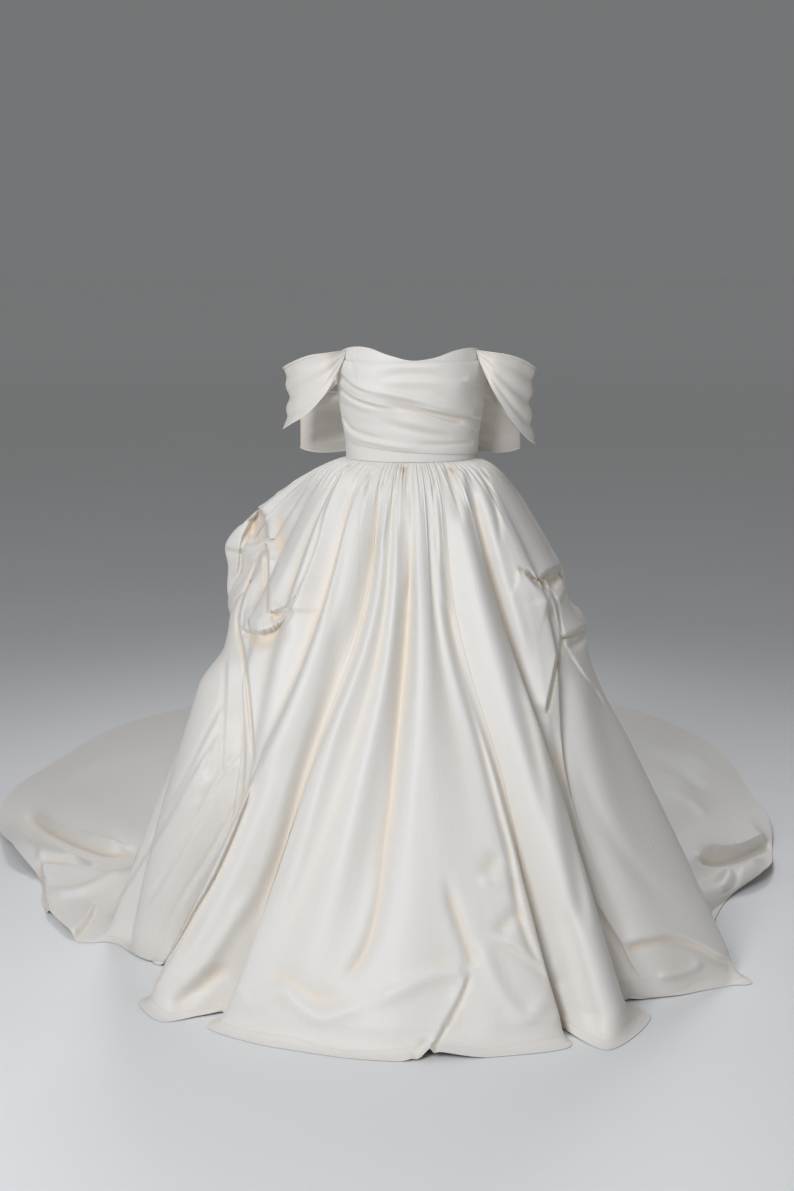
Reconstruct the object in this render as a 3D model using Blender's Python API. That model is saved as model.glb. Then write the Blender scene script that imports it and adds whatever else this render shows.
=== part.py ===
# Off-the-shoulder wedding dress with a gathered skirt, draped hips, a bow and a train.
# Metres, +Z up. The origin is the middle of the waist seam and the front faces -Y.

from collections import namedtuple

import bmesh
import bpy
import numpy as np

# Driving dimensions
FLOOR_DROP = 1.100
WALL = 0.002
THIN_WALL = 0.0015
SEAM_GAP = 0.0004
WAIST_SIDE = 0.140
WAIST_FRONT = 0.105
WAIST_BACK = 0.095

# Bell of the skirt: how fast it widens with the drop, and the puff just under the gathers
SIDE_FLARE = 0.50
FRONT_FLARE = 0.45
BACK_FLARE = 0.58
SIDE_PUFF = 0.040
FRONT_PUFF = 0.050
BACK_PUFF = 0.060
PUFF_DROP = 0.050
SIDE_PUFF_DROP = 0.018

# Levels at which the folds are set out, and the corner where the cloth meets the floor
HIP_DROP = 0.21
KNEE_DROP = 0.62
BREAK_DROP = 1.05
CORNER_REACH = 0.030
CORNER_BEND = 3.0
RUN_SPACING = 1.6
FLOOR_GAP = 0.0005

# Gathers at the waist seam: a ridge between each two fold rows, so every seam lies in a hollow
GATHER_DEPTH = 0.0042
GATHER_DROP = 0.090
GATHER_UNEVEN = 0.4
GATHER_PACE = 1.7
COLUMNS_PER_ROW = 2

# One row for each ridge, valley or layer edge of the skirt, from the centre back round by the
# viewer's left, the front and the right. Degrees are plan angles from the front; outs are
# metres beyond the bell; hem x and y are where that line of cloth ends on the floor.
Fold = namedtuple(
    "Fold",
    "name waist hip knee floor hip_out knee_out floor_out puff hem_x hem_y lift",
)

FOLDS = [
    Fold("centre_back", -180, -180, -180, -180, -.010, -.015, -.020, .060, .000, 2.620, .000),
    Fold("train_l_one", -170, -171, -172, -172, .020, .020, .020, .075, -.380, 2.520, .010),
    Fold("train_l_two", -160, -161, -162, -162, -.018, -.020, -.020, .090, -.700, 2.300, .000),
    Fold("train_l_three", -150, -152, -153, -153, .022, .020, .020, .110, -.930, 1.930, .012),
    Fold("train_l_four", -141, -143, -145, -145, -.018, -.020, -.020, .125, -1.060, 1.550, .000),
    Fold("train_l_five", -133, -135, -137, -137, .022, .022, .015, .140, -1.117, 1.170, .020),
    Fold("train_l_six", -126, -128, -130, -130, -.015, -.020, -.025, .145, -1.100, .900, .000),
    Fold("train_l_seven", -119, -121, -123, -120, .010, .018, .000, .150, -1.003, .606, .030),
    Fold("train_l_eight", -113, -116, -117, -112, .000, -.025, -.040, .152, -.907, .430, .002),
    Fold("train_l_side", -109, -112, -110, -105, .005, -.026, -.040, .155, -.870, .240, .000),
    Fold("train_l_corner", -106, -109, -105, -100.5, .000, -.034, -.030, .140, -.764, .022, .000),
    Fold("under_two", -103, -106, -101, -97.5, -.012, -.040, -.032, .090, -.736, -.004, .0000),
    Fold("layer_two_edge", -100, -103, -97, -94.5, .000, .006, -.030, .105, -.712, -.004, .0000),
    Fold("layer_two_front", -96, -98, -90, -91, .006, .000, -.070, .040, -.686, .000, .0000),
    Fold("under_one", -92, -94.5, -84, -87, -.004, -.026, -.120, .015, -.655, -.020, .0000),
    Fold("layer_one_edge", -88, -91, -79, -83, .044, .026, -.085, .008, -.628, -.060, .0000),
    Fold("layer_one_front", -84, -86, -66, -75, .010, .006, -.130, .000, -.580, -.118, .0000),
    Fold("side_l_under", -79, -82, -57, -68, -.024, -.046, -.220, .000, -.505, -.160, .0020),
    Fold("side_l_edge", -74, -78, -52, -64, .022, -.030, -.210, .000, -.500, -.205, .0020),
    Fold("side_l_panel", -66, -65, -49, -60, -.002, -.022, -.200, .000, -.500, -.250, .0020),
    Fold("side_l_ridge", -57, -52, -46, -57, .018, -.010, -.175, .000, -.500, -.300, .0020),
    Fold("toe_l_flank", -44, -41, -44, -53, -.010, .018, -.050, .000, -.566, -.360, .0020),
    Fold("toe_l_tip", -37, -33, -39, -49, .018, .032, -.015, .000, -.512, -.466, .0000),
    Fold("toe_l_inside", -31, -27, -34, -43, -.004, .006, -.100, .000, -.430, -.440, .0020),
    Fold("front_l_seam", -26, -22, -31, -38, -.020, -.020, -.115, .000, -.385, -.425, .0020),
    Fold("front_l_edge", -20, -15, -27, -37, .004, .010, -.040, .000, -.413, -.498, .0000),
    Fold("front_l_hollow", -15, -11, -19, -28, .006, -.002, -.022, .000, -.321, -.574, .0000),
    Fold("front_l_crest", -11, -7, -13, -21, .010, .012, -.008, .000, -.220, -.619, .0000),
    Fold("front_valley", -5, -1, -6, -14, -.018, -.020, -.014, .000, -.121, -.653, .0000),
    Fold("front_crest", 2, 3, 0, -3, .012, .016, .006, .000, -.024, -.6675, .0000),
    Fold("front_crease", 8, 7, 4, 8, .000, .000, -.016, .000, .038, -.658, .0160),
    Fold("front_r_crest", 13, 10, 13, 16, .010, .014, .004, .000, .150, -.648, .0000),
    Fold("front_r_edge", 18, 13, 22, 27, .008, .010, .004, .000, .309, -.599, .0000),
    Fold("front_r_seam", 24, 19, 26, 29, -.016, -.018, -.095, .000, .295, -.500, .0020),
    Fold("toe_r_tip", 32, 28, 32, 35, .020, .030, .028, .000, .385, -.612, .0000),
    Fold("toe_r_flank", 40, 36, 39, 43, .006, .016, -.030, .000, .487, -.452, .0000),
    Fold("toe_r_under", 47, 42, 43, 46, -.022, -.030, -.120, .000, .445, -.365, .0030),
    Fold("side_r_fold", 54, 53, 45, 49, .014, -.030, -.110, .000, .480, -.350, .0020),
    Fold("side_r_edge", 60, 63, 47.5, 52, .016, -.030, -.085, .000, .530, -.335, .0000),
    Fold("side_r_hollow", 65, 66, 50, 56, -.012, -.038, -.060, .000, .570, -.322, .0000),
    Fold("side_r_panel", 71, 73, 60, 63, -.002, -.022, -.038, .000, .620, -.296, .0000),
    Fold("side_r_ridge", 79, 84, 74, 73, .008, -.018, .000, .010, .680, -.268, .0000),
    Fold("side_r_back_edge", 86, 92, 88, 77, .000, -.010, .000, .025, .729, -.240, .0000),
    Fold("side_r_back_under", 92, 98, 90, 84, -.020, -.050, -.080, .030, .668, -.060, .0010),
    Fold("train_r_one", 99, 104, 99, 98, .002, -.034, -.050, .045, .752, .270, .0000),
    Fold("train_r_two", 106, 110, 109, 110, .010, -.015, -.015, .050, .885, .455, .0250),
    Fold("train_r_three", 113, 118, 118, 118, -.012, -.028, -.030, .055, .935, .660, .0000),
    Fold("train_r_four", 120, 125, 127, 126, .014, .000, .005, .060, .966, .880, .0200),
    Fold("train_r_five", 128, 133, 136, 134, -.015, -.018, -.020, .065, .975, 1.220, .0000),
    Fold("train_r_six", 137, 142, 145, 144, .020, .018, .018, .070, .960, 1.580, .0120),
    Fold("train_r_seven", 147, 151, 154, 154, -.018, -.020, -.020, .070, .900, 1.930, .0000),
    Fold("train_r_eight", 158, 161, 163, 163, .020, .020, .020, .070, .700, 2.260, .0100),
    Fold("train_r_nine", 169, 171, 172, 172, -.016, -.018, -.018, .065, .370, 2.500, .0000),
]

# Share of the hip puff at each drop: one shelf on the left, two tiers on the right
PuffLevel = namedtuple("PuffLevel", "drop left right")
PUFF_LEVELS = [
    PuffLevel(0.00, 0.00, 0.00),
    PuffLevel(0.04, 0.22, 0.25),
    PuffLevel(0.08, 0.46, 0.50),
    PuffLevel(0.15, 0.80, 0.74),
    PuffLevel(0.21, 1.00, 0.90),
    PuffLevel(0.27, 0.80, 1.00),
    PuffLevel(0.33, 0.52, 0.66),
    PuffLevel(0.39, 0.20, 1.05),
    PuffLevel(0.45, -0.08, -0.10),
    PuffLevel(0.62, 0.00, 0.00),
    PuffLevel(1.10, 0.00, 0.00),
]
# Degrees where the two tiers start to ease into the shelf behind them
TIERS_END = 112.0

# Cowl lips that roll over at the hips: where each hangs and how far it stands out
Cowl = namedtuple("Cowl", "name degrees half_span drop out")
COWLS = [
    Cowl("left_lip", -70, 17, 0.34, 0.022),
    Cowl("right_lip", 66, 12, 0.29, 0.014),
]
COWL_RISE = 0.12
COWL_ROLL = 0.03

# Levels of the skirt's grid. The fine ones carry the gathers at the waist.
FINE_DROPS = [0.0, 0.018, 0.045]
COARSE_DROPS = [0.09, 0.15, 0.21, 0.27, 0.33, 0.39, 0.45, 0.62, 0.84, 1.05]
RUN_STEPS = [0.07, 0.18, 0.38, 0.68, 1.0]

# Skirt pieces as a maker would cut them, between fold rows
SKIRT_PIECES = [
    ("train_left", "centre_back", "side_l_under"),
    ("skirt_side_left", "side_l_under", "front_l_seam"),
    ("skirt_front", "front_l_seam", "front_r_seam"),
    ("skirt_side_right", "front_r_seam", "side_r_back_under"),
    ("train_right", "side_r_back_under", "centre_back"),
]

# Bodice sections from the waist seam up
Section = namedtuple("Section", "height side front back")
BODICE = [
    Section(0.000, .1400, .1050, .0950),
    Section(0.050, .1425, .1120, .0980),
    Section(0.100, .1500, .1240, .1020),
    Section(0.150, .1560, .1370, .1050),
    Section(0.190, .1575, .1420, .1070),
    Section(0.250, .1540, .1330, .1080),
]
CUP_DEGREES = 34
CUP_SPREAD = 20
CUP_HEIGHT = 0.165
CUP_RISE = 0.050
CUP_OUT = 0.010

# Top edge of the bodice: sweetheart front, straight low back
Neck = namedtuple("Neck", "degrees height")
NECKLINE = [
    Neck(-180, .186),
    Neck(-125, .190),
    Neck(-90, .214),
    Neck(-62, .238),
    Neck(-36, .2415),
    Neck(-16, .226),
    Neck(0, .2165),
    Neck(16, .221),
    Neck(36, .236),
    Neck(62, .238),
    Neck(90, .214),
    Neck(125, .190),
    Neck(180, .186),
]
BODICE_SEAM_DEGREES = 84
BODICE_COLUMNS = 44
BODICE_ROWS = 7
BODICE_LIFT = 0.0005

# Draped panel over the bodice front
DRAPE_START = -76
DRAPE_END = 82
DRAPE_TOP = 0.2125
DRAPE_LOW_LEFT = 0.050
DRAPE_LOW_RIGHT = 0.010
DRAPE_COLUMNS = 26
DRAPE_ROWS = 11
DRAPE_CLEAR = 0.0008
DRAPE_INNER_SHARE = 0.8
DRAPE_MIDDLE_RISE = 0.55
DrapeFold = namedtuple("DrapeFold", "left_height right_height width out")
DRAPE_FOLDS = [
    DrapeFold(.196, .178, .014, .0030),
    DrapeFold(.168, .118, .013, .0055),
    DrapeFold(.138, .086, .013, .0045),
    DrapeFold(.108, .060, .012, .0040),
    DrapeFold(.080, .034, .012, .0035),
]

# Sleeve bands round the upper arm, from the front corner of the bodice to the back
Station = namedtuple("Station", "name x y top low")
SLEEVE_LEFT = [
    Station("front", -.176, -.090, .230, .150),
    Station("front_side", -.214, -.078, .224, .105),
    Station("outer_front", -.256, -.042, .206, .075),
    Station("outer", -.275, .004, .192, .060),
    Station("outer_back", -.252, .055, .192, .072),
    Station("back_side", -.205, .090, .198, .105),
    Station("back", -.162, .088, .196, .150),
]
SLEEVE_RIGHT = [
    Station("front", .172, -.090, .231, .150),
    Station("front_side", .202, -.082, .226, .102),
    Station("outer_front", .240, -.052, .212, .052),
    Station("outer", .268, .000, .190, .028),
    Station("outer_back", .252, .052, .190, .045),
    Station("back_side", .205, .090, .196, .085),
    Station("back", .162, .088, .194, .140),
]
SLEEVE_CORNER_DEGREES = 62
SLEEVE_BACK_DEGREES = 118
SLEEVE_CORNER_LOW = 0.2160
SLEEVE_CORNER_TOP = 0.2340
SLEEVE_BACK_LOW = 0.158
SLEEVE_BACK_TOP = 0.186
SLEEVE_SEAT = 0.0005
SLEEVE_OVER_DRAPE = 0.0040
SLEEVE_BELLY = 0.006
SLEEVE_COLUMNS = 18
SLEEVE_ROWS = 8
SleeveFold = namedtuple("SleeveFold", "at_corner at_outer width out")
SLEEVE_FOLDS_LEFT = [
    SleeveFold(.75, .86, .10, .005),
    SleeveFold(.45, .52, .11, .008),
    SleeveFold(.22, .20, .09, .005),
]
SLEEVE_FOLDS_RIGHT = [
    SleeveFold(.80, .84, .08, .006),
    SleeveFold(.55, .55, .09, .008),
    SleeveFold(.30, .26, .08, .006),
]

# Bow at the centre back
BOW_LOOP = [
    Station("knot_front", .0135, .1180, .085, .045),
    Station("front_near", .0550, .1120, .108, .020),
    Station("front_far", .1400, .1140, .131, .001),
    Station("tip_front", .2200, .1230, .130, .001),
    Station("tip", .2450, .1430, .126, .004),
    Station("tip_back", .2150, .1640, .122, .006),
    Station("back_far", .1400, .1700, .120, .008),
    Station("back_near", .0600, .1600, .102, .026),
    Station("knot_back", .0135, .1400, .083, .047),
]
BOW_COLUMNS = 18
BOW_ROWS = 6
BOW_PLEATS = 3
BOW_PLEAT_DEPTH = 0.004
BOW_PLEAT_START = 0.12
KNOT_HALF_WIDTH = 0.0130
KNOT_FRONT = 0.1002
KNOT_BACK = 0.1520
KNOT_LOW = 0.036
KNOT_TOP = 0.094
KNOT_SIDES = 16
KNOT_CUTS = 4
KNOT_DRAWN = 0.18
KNOT_ROUNDNESS = 0.7

# Ivory satin
SATIN_COLOUR = (0.80, 0.745, 0.665, 1.0)
SATIN_ROUGHNESS = 0.42
SATIN_SHEEN = 0.25


def through(knots, values, at):
    """Smooth curve through values given at rising knots."""
    knots = np.asarray(knots, float)
    values = np.asarray(values, float)
    at = np.clip(np.asarray(at, float), knots[0], knots[-1])
    slopes = np.gradient(values, knots)
    left = np.clip(np.searchsorted(knots, at, side="right") - 1, 0, len(knots) - 2)
    width = knots[left + 1] - knots[left]
    t = (at - knots[left]) / width
    start = values[left] * (2 * t ** 3 - 3 * t ** 2 + 1) + values[left + 1] * (3 * t ** 2 - 2 * t ** 3)
    bend = slopes[left] * (t ** 3 - 2 * t ** 2 + t) + slopes[left + 1] * (t ** 3 - t ** 2)
    return start + width * bend


def around(values, at, turn=0.0):
    """Smooth closed curve through one value for each row; turn is what one lap adds."""
    values = np.asarray(values, float)
    count = len(values)
    row = np.floor(at).astype(int)
    t = at - row

    def value(offset):
        index = row + offset
        return values[index % count] + turn * (index // count)

    before, here, after, beyond = value(-1), value(0), value(1), value(2)
    bend = 2 * before - 5 * here + 4 * after - beyond
    twist = 3 * (here - after) + beyond - before
    return 0.5 * (2 * here + (after - before) * t + bend * t ** 2 + twist * t ** 3)


def bell_radius(degrees, drop):
    """Distance from the axis to the plain bell of the skirt."""
    puffed = 1 - np.exp(-drop / PUFF_DROP)
    side_puffed = 1 - np.exp(-drop / SIDE_PUFF_DROP)
    side = WAIST_SIDE + SIDE_FLARE * drop + SIDE_PUFF * side_puffed
    front = WAIST_FRONT + FRONT_FLARE * drop + FRONT_PUFF * puffed
    back = WAIST_BACK + BACK_FLARE * drop + BACK_PUFF * puffed
    angle = np.radians(degrees)
    depth = np.where(np.cos(angle) > 0, front, back)
    return 1 / np.sqrt((np.sin(angle) / side) ** 2 + (np.cos(angle) / depth) ** 2)


def puff_share(degrees, drop):
    """How much of a row's hip puff stands out at a drop."""
    drops = [level.drop for level in PUFF_LEVELS]
    left = through(drops, [level.left for level in PUFF_LEVELS], drop)
    right = through(drops, [level.right for level in PUFF_LEVELS], drop)
    wrapped = (degrees + 180) % 360 - 180
    to_back = np.clip((wrapped - TIERS_END) / (180 - TIERS_END), 0, 1)
    to_left = np.where(wrapped < 0, 1, to_back * to_back * (3 - 2 * to_back))
    return right + (left - right) * to_left


def cowl_out(degrees, drop):
    """Extra reach of the cowl lips, which roll back sharply under their lower edge."""
    total = np.zeros(np.broadcast(degrees, drop).shape)
    for cowl in COWLS:
        across = np.clip((degrees - cowl.degrees) / cowl.half_span, -1, 1)
        span = np.cos(across * np.pi / 2) ** 2
        above = np.clip((drop - cowl.drop + COWL_RISE) / COWL_RISE, 0, 1)
        below = np.clip((cowl.drop + COWL_ROLL - drop) / COWL_ROLL, 0, 1)
        total = total + cowl.out * span * above ** 2 * below
    return total


def level_value(waist, hip, knee, floor, drop):
    """Blend the four levels of the fold table along the drop."""
    knots = np.array([0.0, HIP_DROP, KNEE_DROP, BREAK_DROP])
    levels = np.stack(np.broadcast_arrays(waist, hip, knee, floor))
    slopes = np.gradient(levels, knots, axis=0)
    left = int(np.clip(np.searchsorted(knots, drop, side="right") - 1, 0, 2))
    width = knots[left + 1] - knots[left]
    t = (min(drop, BREAK_DROP) - knots[left]) / width
    start = levels[left] * (2 * t ** 3 - 3 * t ** 2 + 1) + levels[left + 1] * (3 * t ** 2 - 2 * t ** 3)
    bend = slopes[left] * (t ** 3 - 2 * t ** 2 + t) + slopes[left + 1] * (t ** 3 - t ** 2)
    return start + width * bend


def fold_column(name, at, turn=0.0):
    """A column of the fold table read round the ring."""
    return around([getattr(fold, name) for fold in FOLDS], at, turn)


def skirt_level(at, drop):
    """Points of the skirt's outer face at one drop, for fold positions at."""
    degrees = level_value(
        fold_column("waist", at, 360),
        fold_column("hip", at, 360),
        fold_column("knee", at, 360),
        fold_column("floor", at, 360),
        drop,
    )
    out = level_value(
        0 * at,
        fold_column("hip_out", at),
        fold_column("knee_out", at),
        fold_column("floor_out", at),
        drop,
    )
    out = out + fold_column("puff", at) * puff_share(degrees, drop) + cowl_out(degrees, drop)
    fade = np.clip(1 - drop / GATHER_DROP, 0, 1)
    uneven = 1 - GATHER_UNEVEN + GATHER_UNEVEN * np.cos(GATHER_PACE * at)
    out = out - GATHER_DEPTH * fade * uneven * np.cos(2 * np.pi * at)
    radius = bell_radius(degrees, drop) + out
    angle = np.radians(degrees)
    height = np.full(at.shape, -drop)
    return np.stack([radius * np.sin(angle), -radius * np.cos(angle), height], axis=-1)


def skirt_run(at, step):
    """Points of the skirt's upper face where it spreads over the floor."""
    start = skirt_level(at, BREAK_DROP)
    hem_x = fold_column("hem_x", at)
    hem_y = fold_column("hem_y", at)
    lift = fold_column("lift", at)
    run = np.hypot(hem_x - start[:, 0], hem_y - start[:, 1])
    gone = step ** RUN_SPACING
    x = start[:, 0] + (hem_x - start[:, 0]) * gone
    y = start[:, 1] + (hem_y - start[:, 1]) * gone
    bend = np.maximum(CORNER_BEND, run / CORNER_REACH)
    rest = (np.exp(-bend * gone) - np.exp(-bend)) / (1 - np.exp(-bend))
    top = -FLOOR_DROP + WALL + FLOOR_GAP
    z = (top + lift) * (1 - rest) - BREAK_DROP * rest
    return np.stack([x, y, z], axis=-1)


def sheet_normals(grid):
    """Unit normals of an open grid of points."""
    along = np.gradient(grid, axis=1)
    down = np.gradient(grid, axis=0)
    normal = np.cross(down, along)
    return normal / np.linalg.norm(normal, axis=-1, keepdims=True)


def join_rows(upper, lower):
    """Faces between two rows of vertices of equal length, or two to one."""
    faces = []
    if len(upper) == len(lower):
        for k in range(len(upper) - 1):
            faces.append((upper[k], lower[k], lower[k + 1]))
            faces.append((upper[k], lower[k + 1], upper[k + 1]))
        return faces
    for k in range(len(lower) - 1):
        first, middle, last = upper[2 * k], upper[2 * k + 1], upper[2 * k + 2]
        faces.append((first, lower[k], middle))
        faces.append((middle, lower[k], lower[k + 1]))
        faces.append((middle, lower[k + 1], last))
    return faces


def finish_object(name, bm, collection):
    """Object from a bmesh, with its faces turned outward and its own satin."""
    bmesh.ops.recalc_face_normals(bm, faces=bm.faces)
    mesh = bpy.data.meshes.new(name)
    bm.to_mesh(mesh)
    bm.free()
    mesh.shade_smooth()
    mesh.materials.append(make_satin(name + "_satin"))
    collection.objects.link(bpy.data.objects.new(name, mesh))


def make_wall(name, outer_rows, inner_rows, collection):
    """Closed sheet of cloth between its outer and inner rows of points."""
    bm = bmesh.new()
    outer = [[bm.verts.new(point) for point in row] for row in outer_rows]
    inner = [[bm.verts.new(point) for point in row] for row in inner_rows]
    faces = []
    for k in range(len(outer) - 1):
        faces += join_rows(outer[k], outer[k + 1])
        faces += [tuple(reversed(face)) for face in join_rows(inner[k], inner[k + 1])]
        faces.append((outer[k][0], inner[k][0], inner[k + 1][0], outer[k + 1][0]))
        faces.append((outer[k][-1], outer[k + 1][-1], inner[k + 1][-1], inner[k][-1]))
    faces += join_rows(inner[0], outer[0])
    faces += join_rows(outer[-1], inner[-1])
    for face in faces:
        bm.faces.new(face)
    finish_object(name, bm, collection)


def make_sheet(name, grid, wall, outward, collection):
    """Closed sheet of cloth from one open grid; outward picks the side the normals take."""
    normals = sheet_normals(grid) * outward
    inner = grid - normals * wall
    make_wall(name, grid, inner, collection)


def draw_back(rows, first):
    """Move one end column of each row into the piece, so neighbours keep the seam gap."""
    end, inside = (0, 1) if first else (-1, -2)
    moved = []
    for row in rows:
        row = row.copy()
        step = row[inside] - row[end]
        row[end] += step / np.linalg.norm(step) * SEAM_GAP / 2
        moved.append(row)
    return moved


def build_skirt(collection):
    """Front, side and train pieces, all read from the same ring of folds."""
    names = [fold.name for fold in FOLDS]
    for name, begin, finish in SKIRT_PIECES:
        first = names.index(begin)
        last = names.index(finish)
        if last <= first:
            last += len(FOLDS)
        coarse = np.linspace(first, last, (last - first) * COLUMNS_PER_ROW + 1)
        fine = np.linspace(first, last, (last - first) * COLUMNS_PER_ROW * 2 + 1)
        coarse_rows = [skirt_level(coarse, drop) for drop in COARSE_DROPS]
        coarse_rows += [skirt_run(coarse, step) for step in RUN_STEPS]
        coarse_grid = np.array(coarse_rows)
        coarse_inner = coarse_grid - sheet_normals(coarse_grid) * WALL
        coarse_inner[..., 2] = np.maximum(coarse_inner[..., 2], -FLOOR_DROP)
        fine_grid = np.array([skirt_level(fine, drop) for drop in FINE_DROPS + COARSE_DROPS[:1]])
        level_normals = sheet_normals(fine_grid)
        level_normals[..., 2] = 0
        fine_inner = (fine_grid - level_normals * THIN_WALL)[:-1]
        outer = list(fine_grid[:-1]) + list(coarse_grid)
        inner = list(fine_inner) + list(coarse_inner)
        outer = draw_back(draw_back(outer, True), False)
        inner = draw_back(draw_back(inner, True), False)
        make_wall(name, outer, inner, collection)


def bodice_point(degrees, height, out):
    """Point of the bodice's outer face, moved out by a distance."""
    heights = [section.height for section in BODICE]
    side = through(heights, [section.side for section in BODICE], height) + out
    front = through(heights, [section.front for section in BODICE], height) + out
    back = through(heights, [section.back for section in BODICE], height) + out
    angle = np.radians(degrees)
    depth = np.where(np.cos(angle) > 0, front, back)
    cup = np.exp(-((np.abs(degrees) - CUP_DEGREES) / CUP_SPREAD) ** 2)
    cup = CUP_OUT * cup * np.exp(-((height - CUP_HEIGHT) / CUP_RISE) ** 2)
    x = (side + cup) * np.sin(angle)
    y = -(depth + cup) * np.cos(angle)
    return np.stack(np.broadcast_arrays(x, y, height), axis=-1)


def neck_height(degrees):
    """Height of the bodice's top edge."""
    return through([neck.degrees for neck in NECKLINE], [neck.height for neck in NECKLINE], degrees)


def build_bodice(collection):
    """Front and two backs, which meet at the side seams and the centre back."""
    gap = np.degrees(SEAM_GAP / 2 / WAIST_BACK)
    pieces = [
        ("bodice_back_left", -180 + gap, -BODICE_SEAM_DEGREES - gap, 10),
        ("bodice_front", -BODICE_SEAM_DEGREES + gap, BODICE_SEAM_DEGREES - gap, 24),
        ("bodice_back_right", BODICE_SEAM_DEGREES + gap, 180 - gap, 10),
    ]
    share = np.linspace(0, 1, BODICE_ROWS + 1)[:, None]
    for name, start, end, columns in pieces:
        degrees = np.linspace(start, end, columns + 1)[None, :]
        height = BODICE_LIFT + (neck_height(degrees) - BODICE_LIFT) * share
        outer = bodice_point(degrees, height, 0.0)
        inner = bodice_point(degrees, height, -WALL)
        make_wall(name, outer, inner, collection)


def drape_out(across, height):
    """How far the folds of the draped panel stand off it."""
    total = np.zeros(np.broadcast(across, height).shape)
    for fold in DRAPE_FOLDS:
        crest = fold.left_height + (fold.right_height - fold.left_height) * across
        ends = 1 - DRAPE_MIDDLE_RISE + DRAPE_MIDDLE_RISE * np.sin(np.pi * across)
        total = total + fold.out * ends * np.exp(-((height - crest) / fold.width) ** 2)
    return total


def build_drape(collection):
    """Panel laid over the bodice front in diagonal folds."""
    across = np.linspace(0, 1, DRAPE_COLUMNS + 1)[None, :]
    share = np.linspace(0, 1, DRAPE_ROWS + 1)[:, None]
    degrees = DRAPE_START + (DRAPE_END - DRAPE_START) * across
    low = DRAPE_LOW_LEFT + (DRAPE_LOW_RIGHT - DRAPE_LOW_LEFT) * np.sqrt(across)
    height = low + (DRAPE_TOP - low) * share
    out = drape_out(across, height)
    outer = bodice_point(degrees, height, DRAPE_CLEAR + THIN_WALL + out)
    inner = bodice_point(degrees, height, DRAPE_CLEAR + DRAPE_INNER_SHARE * out)
    make_wall("bodice_drape", outer, inner, collection)


def band_grid(stations, columns, rows, start, end):
    """Grid of a cloth band through stations, with its two ends given as low and top points."""
    lows = [start[0]] + [(s.x, s.y, s.low) for s in stations] + [end[0]]
    tops = [start[1]] + [(s.x, s.y, s.top) for s in stations] + [end[1]]
    lows = np.array(lows)
    tops = np.array(tops)
    middle = (lows + tops) / 2
    length = np.concatenate([[0], np.cumsum(np.linalg.norm(np.diff(middle, axis=0), axis=1))])
    at = np.linspace(0, length[-1], columns + 1)
    low = np.stack([through(length, lows[:, k], at) for k in range(3)], axis=-1)
    top = np.stack([through(length, tops[:, k], at) for k in range(3)], axis=-1)
    share = np.linspace(0, 1, rows + 1)[:, None, None]
    return low[None] + (top - low)[None] * share, at / length[-1]


def build_sleeve(name, side, stations, folds, collection):
    """Band from the front corner of the bodice round the arm to the back."""
    front = SLEEVE_CORNER_DEGREES * side
    back = SLEEVE_BACK_DEGREES * side
    start = [
        bodice_point(front, SLEEVE_CORNER_LOW, SLEEVE_OVER_DRAPE),
        bodice_point(front, SLEEVE_CORNER_TOP, SLEEVE_SEAT),
    ]
    end = [bodice_point(back, z, SLEEVE_SEAT) for z in (SLEEVE_BACK_LOW, SLEEVE_BACK_TOP)]
    grid, along = band_grid(stations, SLEEVE_COLUMNS, SLEEVE_ROWS, start, end)
    share = np.linspace(0, 1, SLEEVE_ROWS + 1)[:, None]
    spread = np.sin(np.pi * along)[None, :]
    out = SLEEVE_BELLY * np.sin(np.pi * share) * spread
    for fold in folds:
        crest = fold.at_corner + (fold.at_outer - fold.at_corner) * spread
        out = out + fold.out * spread * np.exp(-((share - crest) / fold.width) ** 2)
    normals = sheet_normals(grid) * side
    grid = grid + normals * out[..., None]
    make_sheet(name, grid, THIN_WALL, side, collection)


def build_bow(collection):
    """Two loops and the knot that binds them at the centre back."""
    for name, side in (("bow_loop_left", -1), ("bow_loop_right", 1)):
        stations = [Station(s.name, s.x * side, s.y, s.top, s.low) for s in BOW_LOOP]
        start = [(stations[0].x, stations[0].y, z) for z in (stations[0].low, stations[0].top)]
        end = [(stations[-1].x, stations[-1].y, z) for z in (stations[-1].low, stations[-1].top)]
        grid, along = band_grid(stations[1:-1], BOW_COLUMNS, BOW_ROWS, start, end)
        share = np.linspace(0, 1, BOW_ROWS + 1)[:, None]
        near = np.cos(np.pi * along)[None, :] ** 2
        ends = np.clip(np.minimum(along, 1 - along) / BOW_PLEAT_START, 0, 1)[None, :]
        pleat = np.cos(2 * np.pi * BOW_PLEATS * share) * near * ends
        normals = sheet_normals(grid) * side
        grid = grid + normals * (BOW_PLEAT_DEPTH * pleat)[..., None]
        make_sheet(name, grid, THIN_WALL, side, collection)
    build_knot(collection)


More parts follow.
